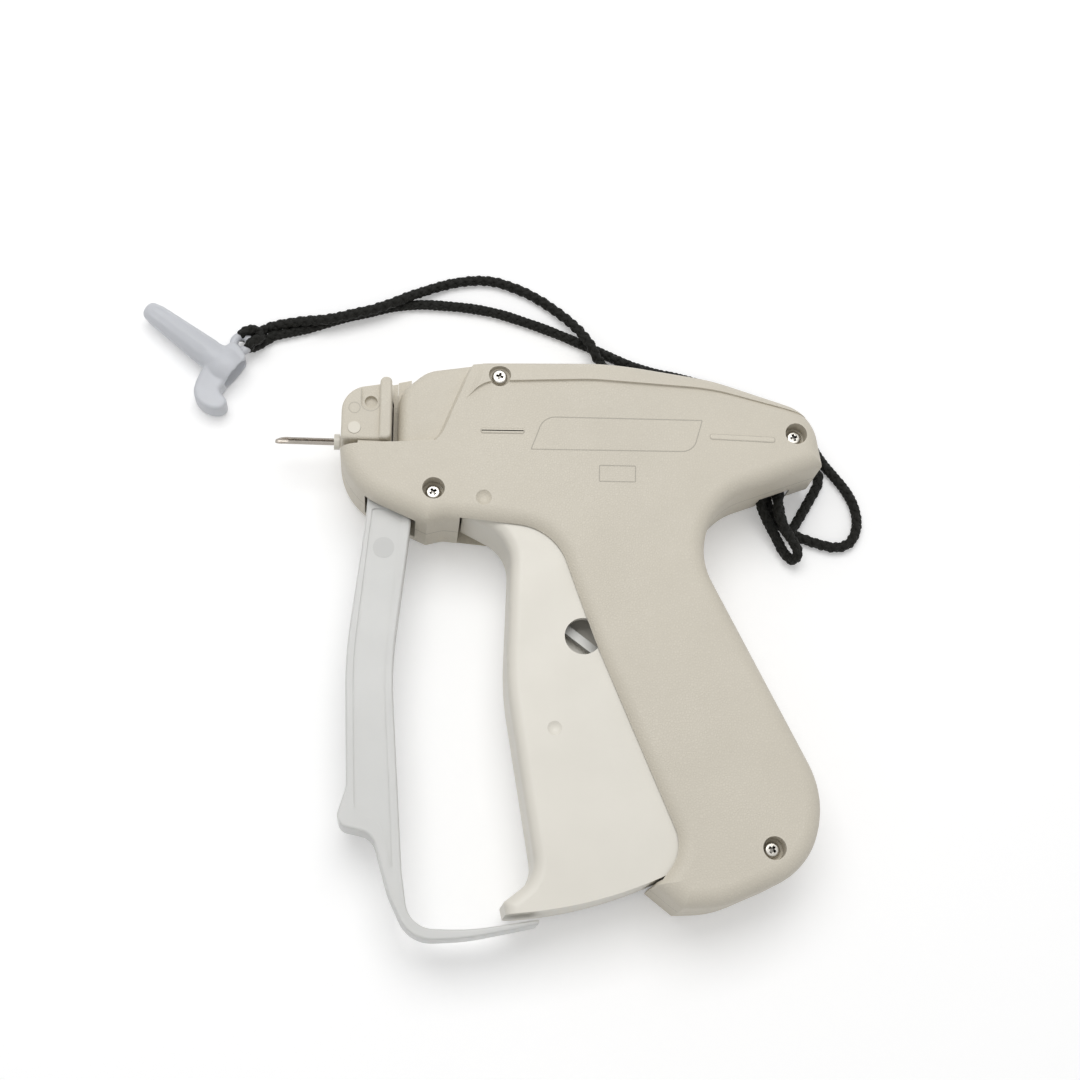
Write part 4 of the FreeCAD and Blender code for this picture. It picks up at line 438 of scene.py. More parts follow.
def cord_finish():
    """Black braided yarn, dull, with a soft sheen."""
    material, tree, shader, place = new_finish(
        "lanyard yarn", Roughness=0.62, Sheen_Weight=0.04, Sheen_Roughness=0.4,
        Specular_IOR_Level=0.22,
    )
    fibres = effect(tree, "Yarn", {
        "Vector": place, "Colour": tone(colours().cord), "Scale": 4200.0})
    tree.links.new(fibres["Colour"], shader.inputs["Base Color"])
    bumped(tree, shader, fibres["Height"], 0.9, 0.16 * MM)
    return material


def rubber_finish():
    material, tree, shader, place = new_finish("stop rubber")
    cloud = clouded(tree, place, colours().rubber, 300.0, 0.2)
    coloured(tree, shader, place, cloud["Colour"], 400.0, 0.7, 0.85)
    bumped(tree, shader, cloud["Cloud"], 0.3, 0.1 * MM)
    return material


FINISH_MAKERS = {
    "housing": housing_finish,
    "trigger": lambda: smooth_plastic("trigger cream plastic", colours().trigger, 0.36, 0.48),
    # The raised marks: a lighter copy of the housing as a painted highlight, with painted shade at
    # their foot.
    "marks": lambda: housing_finish(
        "housing raised marks with painted highlight and foot shade", 1.03,
        (MAIN_FACE + 0.03 * MM, MAIN_FACE + 0.8 * sizes().mark_height)),
    # Painted shade: a darker copy of the housing for the shaded edge round a plate.
    "plate_shade_line": lambda: housing_finish("housing plate lines of painted shade", 0.66),
    # Painted shade: a fainter darker copy of the housing for the edges of the lock's disc and
    # groove.
    "faint_shade_line": lambda: housing_finish("housing faint lines of painted shade", 0.80),
    "guard": lambda: smooth_plastic(
        "guard milky plastic", colours().guard, 0.34, 0.46, Transmission_Weight=0.22, IOR=1.46),
    # Painted shade: a darker copy of the guard's plastic, where the boss shows through.
    "guard_boss_shade_painted": lambda: smooth_plastic(
        "guard milky plastic with painted boss shade", tone(colours().guard, 0.90), 0.34, 0.46,
        Transmission_Weight=0.22, IOR=1.46),
    "cap": lambda: smooth_plastic(
        "cap cloudy plastic", colours().cap, 0.34, 0.48, Transmission_Weight=0.25, IOR=1.46),
    "hub": lambda: smooth_plastic("hub plastic", colours().hub, 0.30, 0.40),
    # Painted shade: the guide is dark to stand for the shade in its slot.
    "guide": lambda: smooth_plastic("clip guide plastic in painted slot shade", colours().guide, 0.40, 0.52),
    "lock_pin": lambda: smooth_plastic("lock pin plastic", colours().lock_pin, 0.34, 0.44),
    "acetal": lambda: smooth_plastic("white acetal", colours().acetal, 0.38, 0.50),
    "screw": lambda: bright_metal(
        "screw nickel plate", colours().nickel, 2600.0, (1.0, 1.0, 0.3), 0.16),
    # Painted shade: a darker copy of the nickel for the faces in the cross recess.
    "screw_recess_shade": lambda: bright_metal(
        "screw recess with painted shade", tone(colours().nickel, 0.40), 2600.0, (1.0, 1.0, 0.3), 0.3),
    "needle": lambda: bright_metal(
        "needle ground steel", colours().needle, 3000.0, (0.08, 1.0, 1.0)),
    "blade": lambda: bright_metal("blade steel", colours().steel, 3000.0, (1.0, 0.08, 1.0)),
    "steel": lambda: bright_metal("bright steel", colours().steel, 2600.0, (1.0, 1.0, 0.08)),
    "rubber": rubber_finish,
    "cord": cord_finish,
}
FINISHES = {}


def finish(slot):
    """The material of one of the finishes, built the first time it is asked for."""
    if slot not in FINISHES:
        FINISHES[slot] = FINISH_MAKERS[slot]()
    return FINISHES[slot]


def give_finish(slot, *names):
    """Put a finish on frame nodes whose shape stays as it is."""
    for name in names:
        target = NODES[name]
        if not target.material_slots:
            target.data.materials.append(None)
        for place in target.material_slots:
            place.material = finish(slot)


# ---- mesh helpers
def as_object(name, data):
    made = bpy.data.objects.new(name, data)
    bpy.context.scene.collection.objects.link(made)
    return made


def mesh_from(bm, name):
    mesh = bpy.data.meshes.new(name)
    bm.to_mesh(mesh)
    bm.free()
    return mesh


def smooth_faces(mesh):
    mesh.polygons.foreach_set("use_smooth", [True] * len(mesh.polygons))
    mesh.update()


def dress(piece, slot, body="housing", look=None):
    """Give a new piece its finish and the body that it rides on."""
    piece.data.materials.clear()
    piece.data.materials.append(finish(look or slot))
    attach(piece, body)
    return piece


def evaluated_mesh(source, name):
    """The mesh of an object with its modifiers or bevel worked out; the object goes."""
    bpy.context.view_layer.update()
    graph = bpy.context.evaluated_depsgraph_get()
    mesh = bpy.data.meshes.new_from_object(source.evaluated_get(graph))
    mesh.name = name
    data = source.data
    bpy.data.objects.remove(source)
    if isinstance(data, bpy.types.Curve):
        bpy.data.curves.remove(data)
    else:
        bpy.data.meshes.remove(data)
    return mesh


def only(kind, items):
    """The items of one kind among those that a bmesh operator gives back."""
    return [item for item in items if isinstance(item, kind)]


def spun(profile, centre, axis, steps):
    """A closed solid of revolution from (along, radius) pairs, as a bmesh."""
    bm = bmesh.new()
    side = Vector((0.0, 1.0, 0.0)) if abs(axis.y) < 0.5 else Vector((1.0, 0.0, 0.0))
    chain = [bm.verts.new(centre + axis * along + side * radius) for along, radius in profile]
    for first, second in zip(chain, chain[1:]):
        bm.edges.new((first, second))
    bmesh.ops.spin(
        bm, geom=bm.verts[:] + bm.edges[:], cent=centre, axis=axis, angle=2 * math.pi,
        steps=steps, use_merge=True,
    )
    bmesh.ops.remove_doubles(bm, verts=bm.verts[:], dist=1e-7)
    bmesh.ops.recalc_face_normals(bm, faces=bm.faces[:])
    return bm


def prism(points, low, high, soft=0.0, segments=4):
    """A plan of points raised between two heights, its edges softened, as a bmesh."""
    bm = bmesh.new()
    plan = bm.faces.new([bm.verts.new((x, y, low)) for x, y in points])
    raised = bmesh.ops.extrude_face_region(bm, geom=[plan])
    tops = [item for item in raised["geom"] if isinstance(item, bmesh.types.BMVert)]
    tops = only(bmesh.types.BMVert, raised["geom"])
    bmesh.ops.translate(bm, verts=tops, vec=(0.0, 0.0, high - low))
    bmesh.ops.recalc_face_normals(bm, faces=bm.faces[:])
    if soft:
        bmesh.ops.bevel(
            bm, geom=bm.edges[:], offset=soft, offset_type="OFFSET", segments=segments,
            profile=0.5, affect="EDGES", material=-1, clamp_overlap=True,
        )
    return bm


def combined(piece, operation, forms):
    """Join other forms to a piece, or cut them from it; the helpers, to delete later."""
    helpers = []
    for form in forms:
        helper = as_object("helper_form", mesh_from(form, "helper_form"))
        change = piece.modifiers.new(operation.lower(), "BOOLEAN")
        change.operation = operation
        change.solver = "EXACT"
        change.object = helper
        helpers.append(helper)
    return helpers


def put_away(helpers):
    for helper in helpers:
        bpy.data.objects.remove(helper)


# ---- stage
FLOOR_RADIUS = 3.0
FLOOR_DROP = 0.06 * MM
FLOOR_GLOW = 0.23
LAMP_SPAN = (0.75, 0.55)
LAMP_PLACE = (-0.08, 0.30, 0.86)
CAMERA_SENSOR = 36.0
CAMERA_LENS = 57.627
CAMERA_PLACE = (-0.02347, -0.15105, 0.4500)
CAMERA_RIGHT = (0.9961, 0.0, 0.0879)
CAMERA_FORWARD = (0.0837, 0.3032, -0.9493)


class TAGTOOL_OT_stage(bpy.types.Operator):
    """Lay the pale floor and set the lamp, the sky and the camera"""

    bl_idname = "tag_tool.stage"
    bl_label = "Stage"

    def execute(self, context):
        scene = context.scene
        scene.view_settings.view_transform = "Standard"
        self.lay_floor()
        self.light_sky(scene)
        self.hang_lamp()
        self.place_camera(scene)
        return {"FINISHED"}

    def lay_floor(self):
        bm = bmesh.new()
        bmesh.ops.create_circle(bm, cap_ends=True, segments=96, radius=FLOOR_RADIUS)
        bmesh.ops.translate(bm, verts=bm.verts[:], vec=(0.0, 0.0, -FLOOR_DROP))
        floor = as_object("floor", mesh_from(bm, "floor"))
        material, tree, shader, place = new_finish("floor paper")
        cloud = clouded(tree, place, colours().floor, 3.0, 0.004)
        coloured(tree, shader, place, cloud["Colour"], 20.0, 0.85, 0.95)
        shader.inputs["Emission Color"].default_value = (1.0, 1.0, 1.0, 1.0)
        glow = maths(tree, "MULTIPLY", self.seen_rays(tree), FLOOR_GLOW)
        tree.links.new(glow, shader.inputs["Emission Strength"])
        floor.data.materials.append(material)

    def seen_rays(self, tree):
        """1 for rays from the camera, mirrors and glass, and 0 for those that light."""
        path = tree.nodes.new("ShaderNodeLightPath").outputs
        seen = maths(tree, "MAXIMUM", path["Is Camera Ray"], path["Is Glossy Ray"])
        return maths(tree, "MAXIMUM", seen, path["Is Transmission Ray"])

    def light_sky(self, scene):
        world = bpy.data.worlds.new("studio sky")
        world.use_nodes = True
        tree = world.node_tree
        tree.nodes.clear()
        output = tree.nodes.new("ShaderNodeOutputWorld")
        background = add_node(
            tree, "ShaderNodeBackground", {"Color": (1.0, 1.0, 1.0, 1.0)},
        )
        level = remapped(tree, self.seen_rays(tree), 0.0, 1.0, sizes().sky_level, 1.0)
        tree.links.new(level, background.inputs["Strength"])
        tree.links.new(background.outputs["Background"], output.inputs["Surface"])
        scene.world = world

    def hang_lamp(self):
        data = bpy.data.lights.new("broad lamp", "AREA")
        data.shape = "RECTANGLE"
        data.size, data.size_y = LAMP_SPAN
        data.energy = sizes().lamp_power
        lamp = as_object("broad_lamp", data)
        lamp.location = LAMP_PLACE
        lamp.rotation_euler = (-lamp.location).to_track_quat("-Z", "Y").to_euler()

    def place_camera(self, scene):
        data = bpy.data.cameras.new("camera")
        data.sensor_width = CAMERA_SENSOR
        data.lens = CAMERA_LENS
        data.clip_start = 0.02
        data.clip_end = 20.0
        camera = as_object("camera", data)
        right = Vector(CAMERA_RIGHT).normalized()
        forward = Vector(CAMERA_FORWARD).normalized()
        up = right.cross(forward)
        turned = Matrix((right, up, -forward)).transposed().to_4x4()
        turned.translation = Vector(CAMERA_PLACE)
        camera.matrix_world = turned
        scene.camera = camera


# ---- lanyard
# Control points in mm, from the cap's ring to the body's eye.
STRAND_UPPER = [
    (-60.3, 52.4, 1.6), (-56.8, 53.1, 2.6), (-52.6, 53.7, 3.3), (-48.7, 54.0, 3.9),
    (-44.5, 54.2, 4.5), (-40.7, 55.1, 4.5), (-34.9, 56.9, 4.5), (-31.5, 57.8, 4.5),
    (-27.9, 59.2, 4.5), (-24.3, 60.9, 4.4), (-21.0, 62.8, 3.8), (-17.6, 64.7, 2.6),
    (-11.5, 67.6, 1.6), (-4.6, 69.3, 1.6),
    (2.0, 69.6, 1.6), (8.0, 67.9, 1.6), (14.0, 65.3, 1.6), (19.5, 61.6, 1.8),
    (23.7, 58.0, 2.4), (27.0, 54.0, 4.0), (29.9, 49.8, 5.0), (32.2, 45.2, 3.6),
    (36.6, 41.2, 1.8), (45.5, 39.2, 1.6), (57.0, 37.3, 1.6), (68.5, 34.2, 1.6),
    (79.0, 30.4, 1.6), (86.2, 26.2, 1.6), (90.2, 20.4, 1.6), (93.4, 15.6, 1.6),
    (95.0, 11.8, 1.6), (91.4, 5.6, 1.8), (87.6, -0.8, 2.6), (84.8, -5.4, 3.4),
    (82.8, -2.4, 3.9), (82.0, 6.4, 3.9),
]
STRAND_LOWER = [
    (-59.7, 49.7, 1.6), (-56.8, 50.5, 1.6), (-52.6, 51.7, 1.6), (-48.7, 52.7, 1.6),
    (-44.6, 54.3, 1.6), (-40.8, 55.8, 1.6), (-34.9, 57.5, 1.6), (-31.6, 58.4, 1.6),
    (-27.9, 59.6, 1.6), (-24.3, 60.5, 1.6), (-20.9, 61.0, 1.6), (-16.5, 61.3, 1.6),
    (-12.0, 61.2, 1.6), (-4.5, 60.8, 1.6),
    (3.5, 59.6, 1.6), (11.5, 57.1, 1.6), (19.5, 54.3, 1.6), (25.5, 51.8, 1.6),
    (31.5, 49.2, 1.6), (37.5, 46.4, 1.6), (45.5, 43.2, 1.6), (57.0, 41.1, 1.6),
    (69.3, 37.8, 1.6), (80.5, 33.9, 1.6), (88.6, 28.8, 1.6), (92.6, 22.8, 1.6),
    (95.6, 17.0, 1.6), (99.4, 12.6, 1.6), (102.6, 8.2, 1.6), (104.6, 3.4, 1.6),
    (104.8, -2.0, 1.6), (102.6, -6.6, 1.6), (98.6, -8.0, 1.6), (94.6, -7.2, 1.6),
    (90.6, -6.0, 1.6), (86.4, -4.6, 1.8), (80.8, -0.8, 2.6), (78.4, 6.4, 3.8),
]
# Control points in mm, from the body's eye out and back.
STRAND_BIGHT = [
    (78.4, 6.4, 7.2), (76.0, 4.2, 7.0), (77.6, 0.0, 5.6), (81.6, -6.4, 3.0),
    (83.8, -10.4, 1.9), (86.2, -12.8, 3.2), (87.0, -10.4, 5.6), (84.7, -6.8, 6.2),
    (81.8, -2.2, 7.4), (80.6, 1.8, 8.0), (82.0, 6.4, 7.2),
]
STRANDS_EACH_WAY = 3
BRAID_PROUD = 0.10 * MM
BRAID_SWING = 0.24 * MM
BRAID_STEP = 0.42 * MM
CORE_SHARE = 0.80
RING_SIDE = Vector((-64.9, 47.6, 0.0))
RING_PULL = Vector((0.849, 0.529, 0.0))
# Control points in mm: out along the pull, aside, and up.
HITCH_TURN = [
    (6.2, 1.7, 1.6), (3.6, 1.6, 1.6), (0.8, 1.7, 1.7), (-1.2, 1.8, 2.8), (-1.6, 2.0, 4.9),
    (-0.4, 1.9, 6.3), (1.3, 1.7, 5.9), (2.5, 1.6, 4.8), (3.0, 0.0, 4.6), (2.5, -1.6, 4.8),
    (1.3, -1.7, 5.9), (-0.4, -1.9, 6.3), (-1.6, -2.0, 4.9), (-1.2, -1.8, 2.8),
    (0.8, -1.7, 1.7), (3.6, -1.5, 1.6), (5.6, -1.3, 1.6),
]


def spline_points(name, route):
    """The points of a smooth spline whose control points are the route's, in metres."""
    curve = bpy.data.curves.new(name, "CURVE")
    curve.dimensions = "3D"
    curve.resolution_u = 16
    spline = curve.splines.new("NURBS")
    spline.points.add(len(route) - 1)
    for point, place in zip(spline.points, route):
        point.co = (*(Vector(place) * MM), 1.0)
    spline.order_u = 3
    spline.use_endpoint_u = True
    mesh = evaluated_mesh(as_object(name, curve), name)
    points = [vertex.co.copy() for vertex in mesh.vertices]
    bpy.data.meshes.remove(mesh)
    return points


def even_steps(points, step):
    """Points at even distances along a line of points, with its two ends."""
    length = sum((b - a).length for a, b in zip(points, points[1:]))
    count = max(4, round(length / step))
    stops = [length * index / count for index in range(count + 1)]
    placed = []
    walked = 0.0
    index = 0
    for stop in stops:
        while index < len(points) - 2:
            run = (points[index + 1] - points[index]).length
            if walked + run >= stop:
                break
            walked += run
            index += 1
        run = max((points[index + 1] - points[index]).length, 1e-12)
        share = min(1.0, (stop - walked) / run)
        placed.append(points[index].lerp(points[index + 1], share))
    return placed, length


def carried_frames(points):
    """A direction and two sides at each point, carried along without twist."""
    frames = []
    side = None
    for index in range(len(points)):
        before = points[max(index - 1, 0)]
        after = points[min(index + 1, len(points) - 1)]
        along = (after - before).normalized()
        if side is None:
            side = along.cross(Vector((0.0, 0.0, 1.0))).normalized()
        side = (side - along * side.dot(along)).normalized()
        frames.append((side, along.cross(side)))
    return frames


def braid(name, points, length):
    """Six strands plaited round a core along a line: three each way, over and under."""
    radius = sizes().strand_radius
    middle = sizes().cord_diameter / 2 + BRAID_PROUD - radius - BRAID_SWING
    frames = carried_frames(points)
    curve = bpy.data.curves.new(name, "CURVE")
    curve.dimensions = "3D"
    curve.bevel_depth = radius
    curve.bevel_resolution = 1
    curve.use_fill_caps = True
    core = curve.splines.new("POLY")
    core.points.add(len(points) - 1)
    for place, point in zip(core.points, points):
        place.co = (*point, 1.0)
        place.radius = CORE_SHARE * middle / radius
    for way in (1, -1):
        for strand in range(STRANDS_EACH_WAY):
            spline = curve.splines.new("POLY")
            spline.points.add(len(points) - 1)
            for index, (place, point) in enumerate(zip(spline.points, points)):
                walked = length * index / (len(points) - 1)
                turn = 2 * math.pi * walked / sizes().braid_pitch
                angle = way * turn + strand * 2 * math.pi / STRANDS_EACH_WAY
                reach = middle + way * BRAID_SWING * math.cos(STRANDS_EACH_WAY * turn)
                side, across = frames[index]
                offset = side * math.cos(angle) + across * math.sin(angle)
                place.co = (*(point + offset * reach), 1.0)
    mesh = evaluated_mesh(as_object(name, curve), name)
    smooth_faces(mesh)
    return as_object(name, mesh)


class TAGTOOL_OT_lanyard(bpy.types.Operator):
    """Plait the lanyard's two long strands, its bight at the body and its hitch"""

    bl_idname = "tag_tool.lanyard"
    bl_label = "Lanyard"

    def execute(self, context):
        on_end = [self.plait_hitch(), bpy.data.objects[CAP_PIECE]]
        self.plait("braid_upper", STRAND_UPPER, "lanyard_upper", "knot", on_end)
        self.plait("braid_lower", STRAND_LOWER, "lanyard_lower", "knot", [])
        self.plait("braid_bight", STRAND_BIGHT, "lanyard_bight", "object", [])
        return {"FINISHED"}

    def plait(self, name, route, node, far_end, pieces):
        """One strand, from where it leaves the body."""
        smooth = spline_points(name, route[::-1])
        points, length = even_steps(smooth, BRAID_STEP)
        piece = dress(braid(name, points, length), "cord")
        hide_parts(node)

    def plait_hitch(self):
        """The turn that holds the lanyard on the cap's ring, drawn tight on itself."""
        across = Vector((-RING_PULL.y, RING_PULL.x, 0.0))
        route = [
            RING_SIDE + RING_PULL * out + across * aside + Vector((0.0, 0.0, height))
            for out, aside, height in HITCH_TURN
        ]
        points, length = even_steps(spline_points("braid_hitch", route), BRAID_STEP)
        piece = dress(braid("braid_hitch", points, length), "cord")
        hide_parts("cap_hitch")
        return piece


# ---- needle cap
# Sizes in mm and outlines in the cap's own frame: along its axis, aside, and up.
CAP_PIECE = "needle_cap_moulding"
CAP_MOUTH = Vector((-69.0, 36.0, 0.0))
CAP_ANGLE = math.radians(143.6)
CAP_AXIS = 4.6
CAP_AXIS_SIDE = -1.2
CAP_TUBE = [
    (0.8, 0.0), (0.8, 3.9), (2.0, 4.25), (7.0, 4.2), (13.0, 3.85), (19.0, 3.5), (25.0, 3.05),
    (28.8, 2.8), (30.0, 2.65), (30.9, 2.3), (31.4, 1.6), (31.6, 0.7), (31.65, 0.0),
]
CAP_BELL = [
    (-0.3, 0.0), (-0.3, 4.5), (0.2, 4.9), (1.6, 5.35), (3.2, 5.6), (4.8, 5.5), (6.2, 5.0),
    (7.6, 4.4), (9.4, 4.05), (10.2, 3.9), (10.2, 0.0),
]
CAP_BORE = [
    (-2.0, 0.0), (-2.0, 4.6), (0.4, 4.5), (1.8, 4.0), (3.4, 2.9), (4.8, 1.7), (6.0, 1.4),
    (26.0, 1.2), (26.6, 0.0),
]
CAP_TOE = [
    (7.6, 2.0), (7.5, 4.4), (6.7, 7.2), (5.5, 10.0), (3.6, 11.7), (0.6, 12.2), (-2.3, 11.5),
    (-4.2, 9.9), (-4.5, 7.8), (-3.2, 6.5), (-0.9, 6.2), (0.4, 5.2), (0.6, 2.0),
]
CAP_WAIST = [
    (6.6, -2.0), (7.4, 2.0), (6.9, 6.6), (5.0, 8.4), (1.6, 8.6), (-0.4, 7.0), (0.0, 2.0),
    (-0.1, -2.0),
]
CAP_BROW = [
    (6.9, -3.0), (6.5, -6.4), (5.9, -7.7), (3.4, -7.5), (1.0, -6.6), (0.0, -5.9), (-0.2, -3.0),
]
CAP_BELL_PRESS = 0.80
CAP_BORE_PRESS = 0.78
CAP_RIBS = 10
CAP_RIB_SIZE = (19.0, 0.8, 0.9)
CAP_RIB_LEAN = math.radians(3.4)
CAP_RIB_PLACE = (19.0, 0.0, 3.18)
CAP_RING_WIRE = 1.25
CAP_RING_RADIUS = 2.2
CAP_RING_PLACE = (4.4, -9.2, CAP_AXIS)


class TAGTOOL_OT_needle_cap(bpy.types.Operator):
    """Mould the needle cap: ribbed tube, wide cup with its mouth, toe and cord ring"""

    bl_idname = "tag_tool.needle_cap"
    bl_label = "Needle cap"

    def execute(self, context):
        axis = Vector((1.0, 0.0, 0.0))
        centre = Vector((0.0, CAP_AXIS_SIDE, CAP_AXIS))
        bell = self.flattened(spun(CAP_BELL, centre, axis, 64), CAP_BELL_PRESS)
        toe = prism(CAP_TOE, 0.35, 6.9, soft=2.2, segments=5)
        waist = prism(CAP_WAIST, 0.5, 6.95, soft=2.2, segments=5)
        brow = prism(CAP_BROW, 1.2, 7.6, soft=1.2, segments=4)
        extra = [bell, toe, waist, brow, self.ring()]
        extra += [self.rib(number) for number in range(CAP_RIBS)]
        bore = self.flattened(spun(CAP_BORE, centre, axis, 48), CAP_BORE_PRESS)
        piece = self.blended(spun(CAP_TUBE, centre, axis, 64), extra, bore)
        dress(piece, "cap")
        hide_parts("needle_cap")
        return {"FINISHED"}

    def flattened(self, bm, share):
        """Press a form flatter about the height of the cap's axis."""
        middle = Matrix.Translation((0.0, 0.0, CAP_AXIS))
        press = middle @ Matrix.Diagonal((1.0, 1.0, share, 1.0)) @ middle.inverted()
        bmesh.ops.transform(bm, matrix=press, verts=bm.verts[:])
        return bm

    def rib(self, number):
        """A faint lengthwise rib on the tube."""
        bm = bmesh.new()
        bmesh.ops.create_cube(bm, size=1.0)
        bmesh.ops.scale(bm, vec=CAP_RIB_SIZE, verts=bm.verts[:])
        lean = Matrix.Rotation(CAP_RIB_LEAN, 4, "Y")
        bmesh.ops.transform(bm, matrix=lean, verts=bm.verts[:])
        bmesh.ops.translate(bm, vec=CAP_RIB_PLACE, verts=bm.verts[:])
        around = Matrix.Rotation(2 * math.pi * number / CAP_RIBS, 4, "X")
        bmesh.ops.transform(bm, matrix=around, verts=bm.verts[:])
        bmesh.ops.translate(bm, vec=(0.0, CAP_AXIS_SIDE, CAP_AXIS), verts=bm.verts[:])
        return bm

    def ring(self):
        """The ring that the lanyard goes through."""
        bm = bmesh.new()
        bmesh.ops.create_circle(bm, segments=20, radius=CAP_RING_WIRE)
        bmesh.ops.rotate(bm, verts=bm.verts[:], matrix=Matrix.Rotation(math.pi / 2, 3, "X"))
        bmesh.ops.translate(bm, verts=bm.verts[:], vec=(CAP_RING_RADIUS, 0.0, 0.0))
        bmesh.ops.spin(
            bm, geom=bm.verts[:] + bm.edges[:], cent=(0.0, 0.0, 0.0), axis=(0.0, 0.0, 1.0),
            angle=2 * math.pi, steps=40, use_merge=True,
        )
        bmesh.ops.remove_doubles(bm, verts=bm.verts[:], dist=1e-5)
        bmesh.ops.recalc_face_normals(bm, faces=bm.faces[:])
        bmesh.ops.translate(bm, verts=bm.verts[:], vec=CAP_RING_PLACE)
        return bm

    def blended(self, base, extra, bore):
        """Join the forms, sink the bore and blend every edge as a mould does."""
        piece = as_object("cap_form", mesh_from(base, "cap_form"))
        helpers = combined(piece, "UNION", extra) + combined(piece, "DIFFERENCE", [bore])
        remesh = piece.modifiers.new("blend", "REMESH")
        remesh.mode = "VOXEL"
        remesh.voxel_size = sizes().cap_voxel / MM
        remesh.use_smooth_shade = True
        soften = piece.modifiers.new("soften", "SMOOTH")
        soften.factor = 0.5
        soften.iterations = 24
        mesh = evaluated_mesh(piece, CAP_PIECE)
        put_away(helpers)
        place = (
            Matrix.Scale(MM, 4) @ Matrix.Translation(CAP_MOUTH)
            @ Matrix.Rotation(CAP_ANGLE, 4, "Z")
        )
        mesh.transform(place)
        smooth_faces(mesh)
        if not mesh.polygons:
            raise RuntimeError("the needle cap came out empty")
        return as_object(CAP_PIECE, mesh)


# ---- marks on the near face
# Corners in mm, each with the radius that rounds it.
NAME_PLATE = [((11.4, 9.2), 0.4), ((14.9, 18.7), 3.0), ((57.5, 19.1), 0.4), ((54.8, 9.9), 3.0)]
SMALL_PLATE = [((29.5, 5.5), 0.4), ((39.3, 5.6), 0.4), ((39.2, 0.9), 0.4), ((29.4, 0.8), 0.4)]
NEAR_ROUND = 0.98
BAR_RADIUS = 0.8 * NEAR_ROUND
FRONT_BAR = [
    (place, BAR_RADIUS) for place in ((-1.8, 13.3), (9.9, 13.5), (9.9, 15.1), (-1.8, 14.9))]
REAR_BAR = [
    (place, BAR_RADIUS) for place in ((59.2, 13.6), (76.9, 13.2), (76.9, 14.9), (59.2, 15.3))]
REAR_BAR_SHARE = 0.7
BAR_SLOPES = ((0.26 * MM, 0.8), (0.14 * MM, 0.2))
MARK_FOOT = 0.05 * MM
BAR_WALL = 0.02 * MM
LINE_RISE = 0.03 * MM

# Centres in mm, with how far a round mark reaches and the radius that rounds its corners.
LOCK_DISC = ((-34.9, 19.7), 1.6, 1.55)
GUARD_BOSS = ((-26.3, -16.5), 2.8, 2.8 * NEAR_ROUND)
BOSS_DEPTH = 0.65 * MM
BOSS_THICKNESS = 0.12 * MM

GROOVE_CENTRE = Vector((-30.75, 21.4, 0.0)) * MM
GROOVE_REACH = 2.42 * MM
GROOVE_LINE = 0.22 * MM
GROOVE_LEG = 3.4 * MM

# The slot's floor, in mm: its plan, and the heights between which it lies.
SLOT_FLOOR = [
    (-24.6, 10.95), (-23.55, 10.95), (-23.55, 29.9), (-24.97, 29.6), (-24.97, 25.0), (-24.6, 24.0),
]
SLOT_FLOOR_SPAN = (14.2, 17.66)


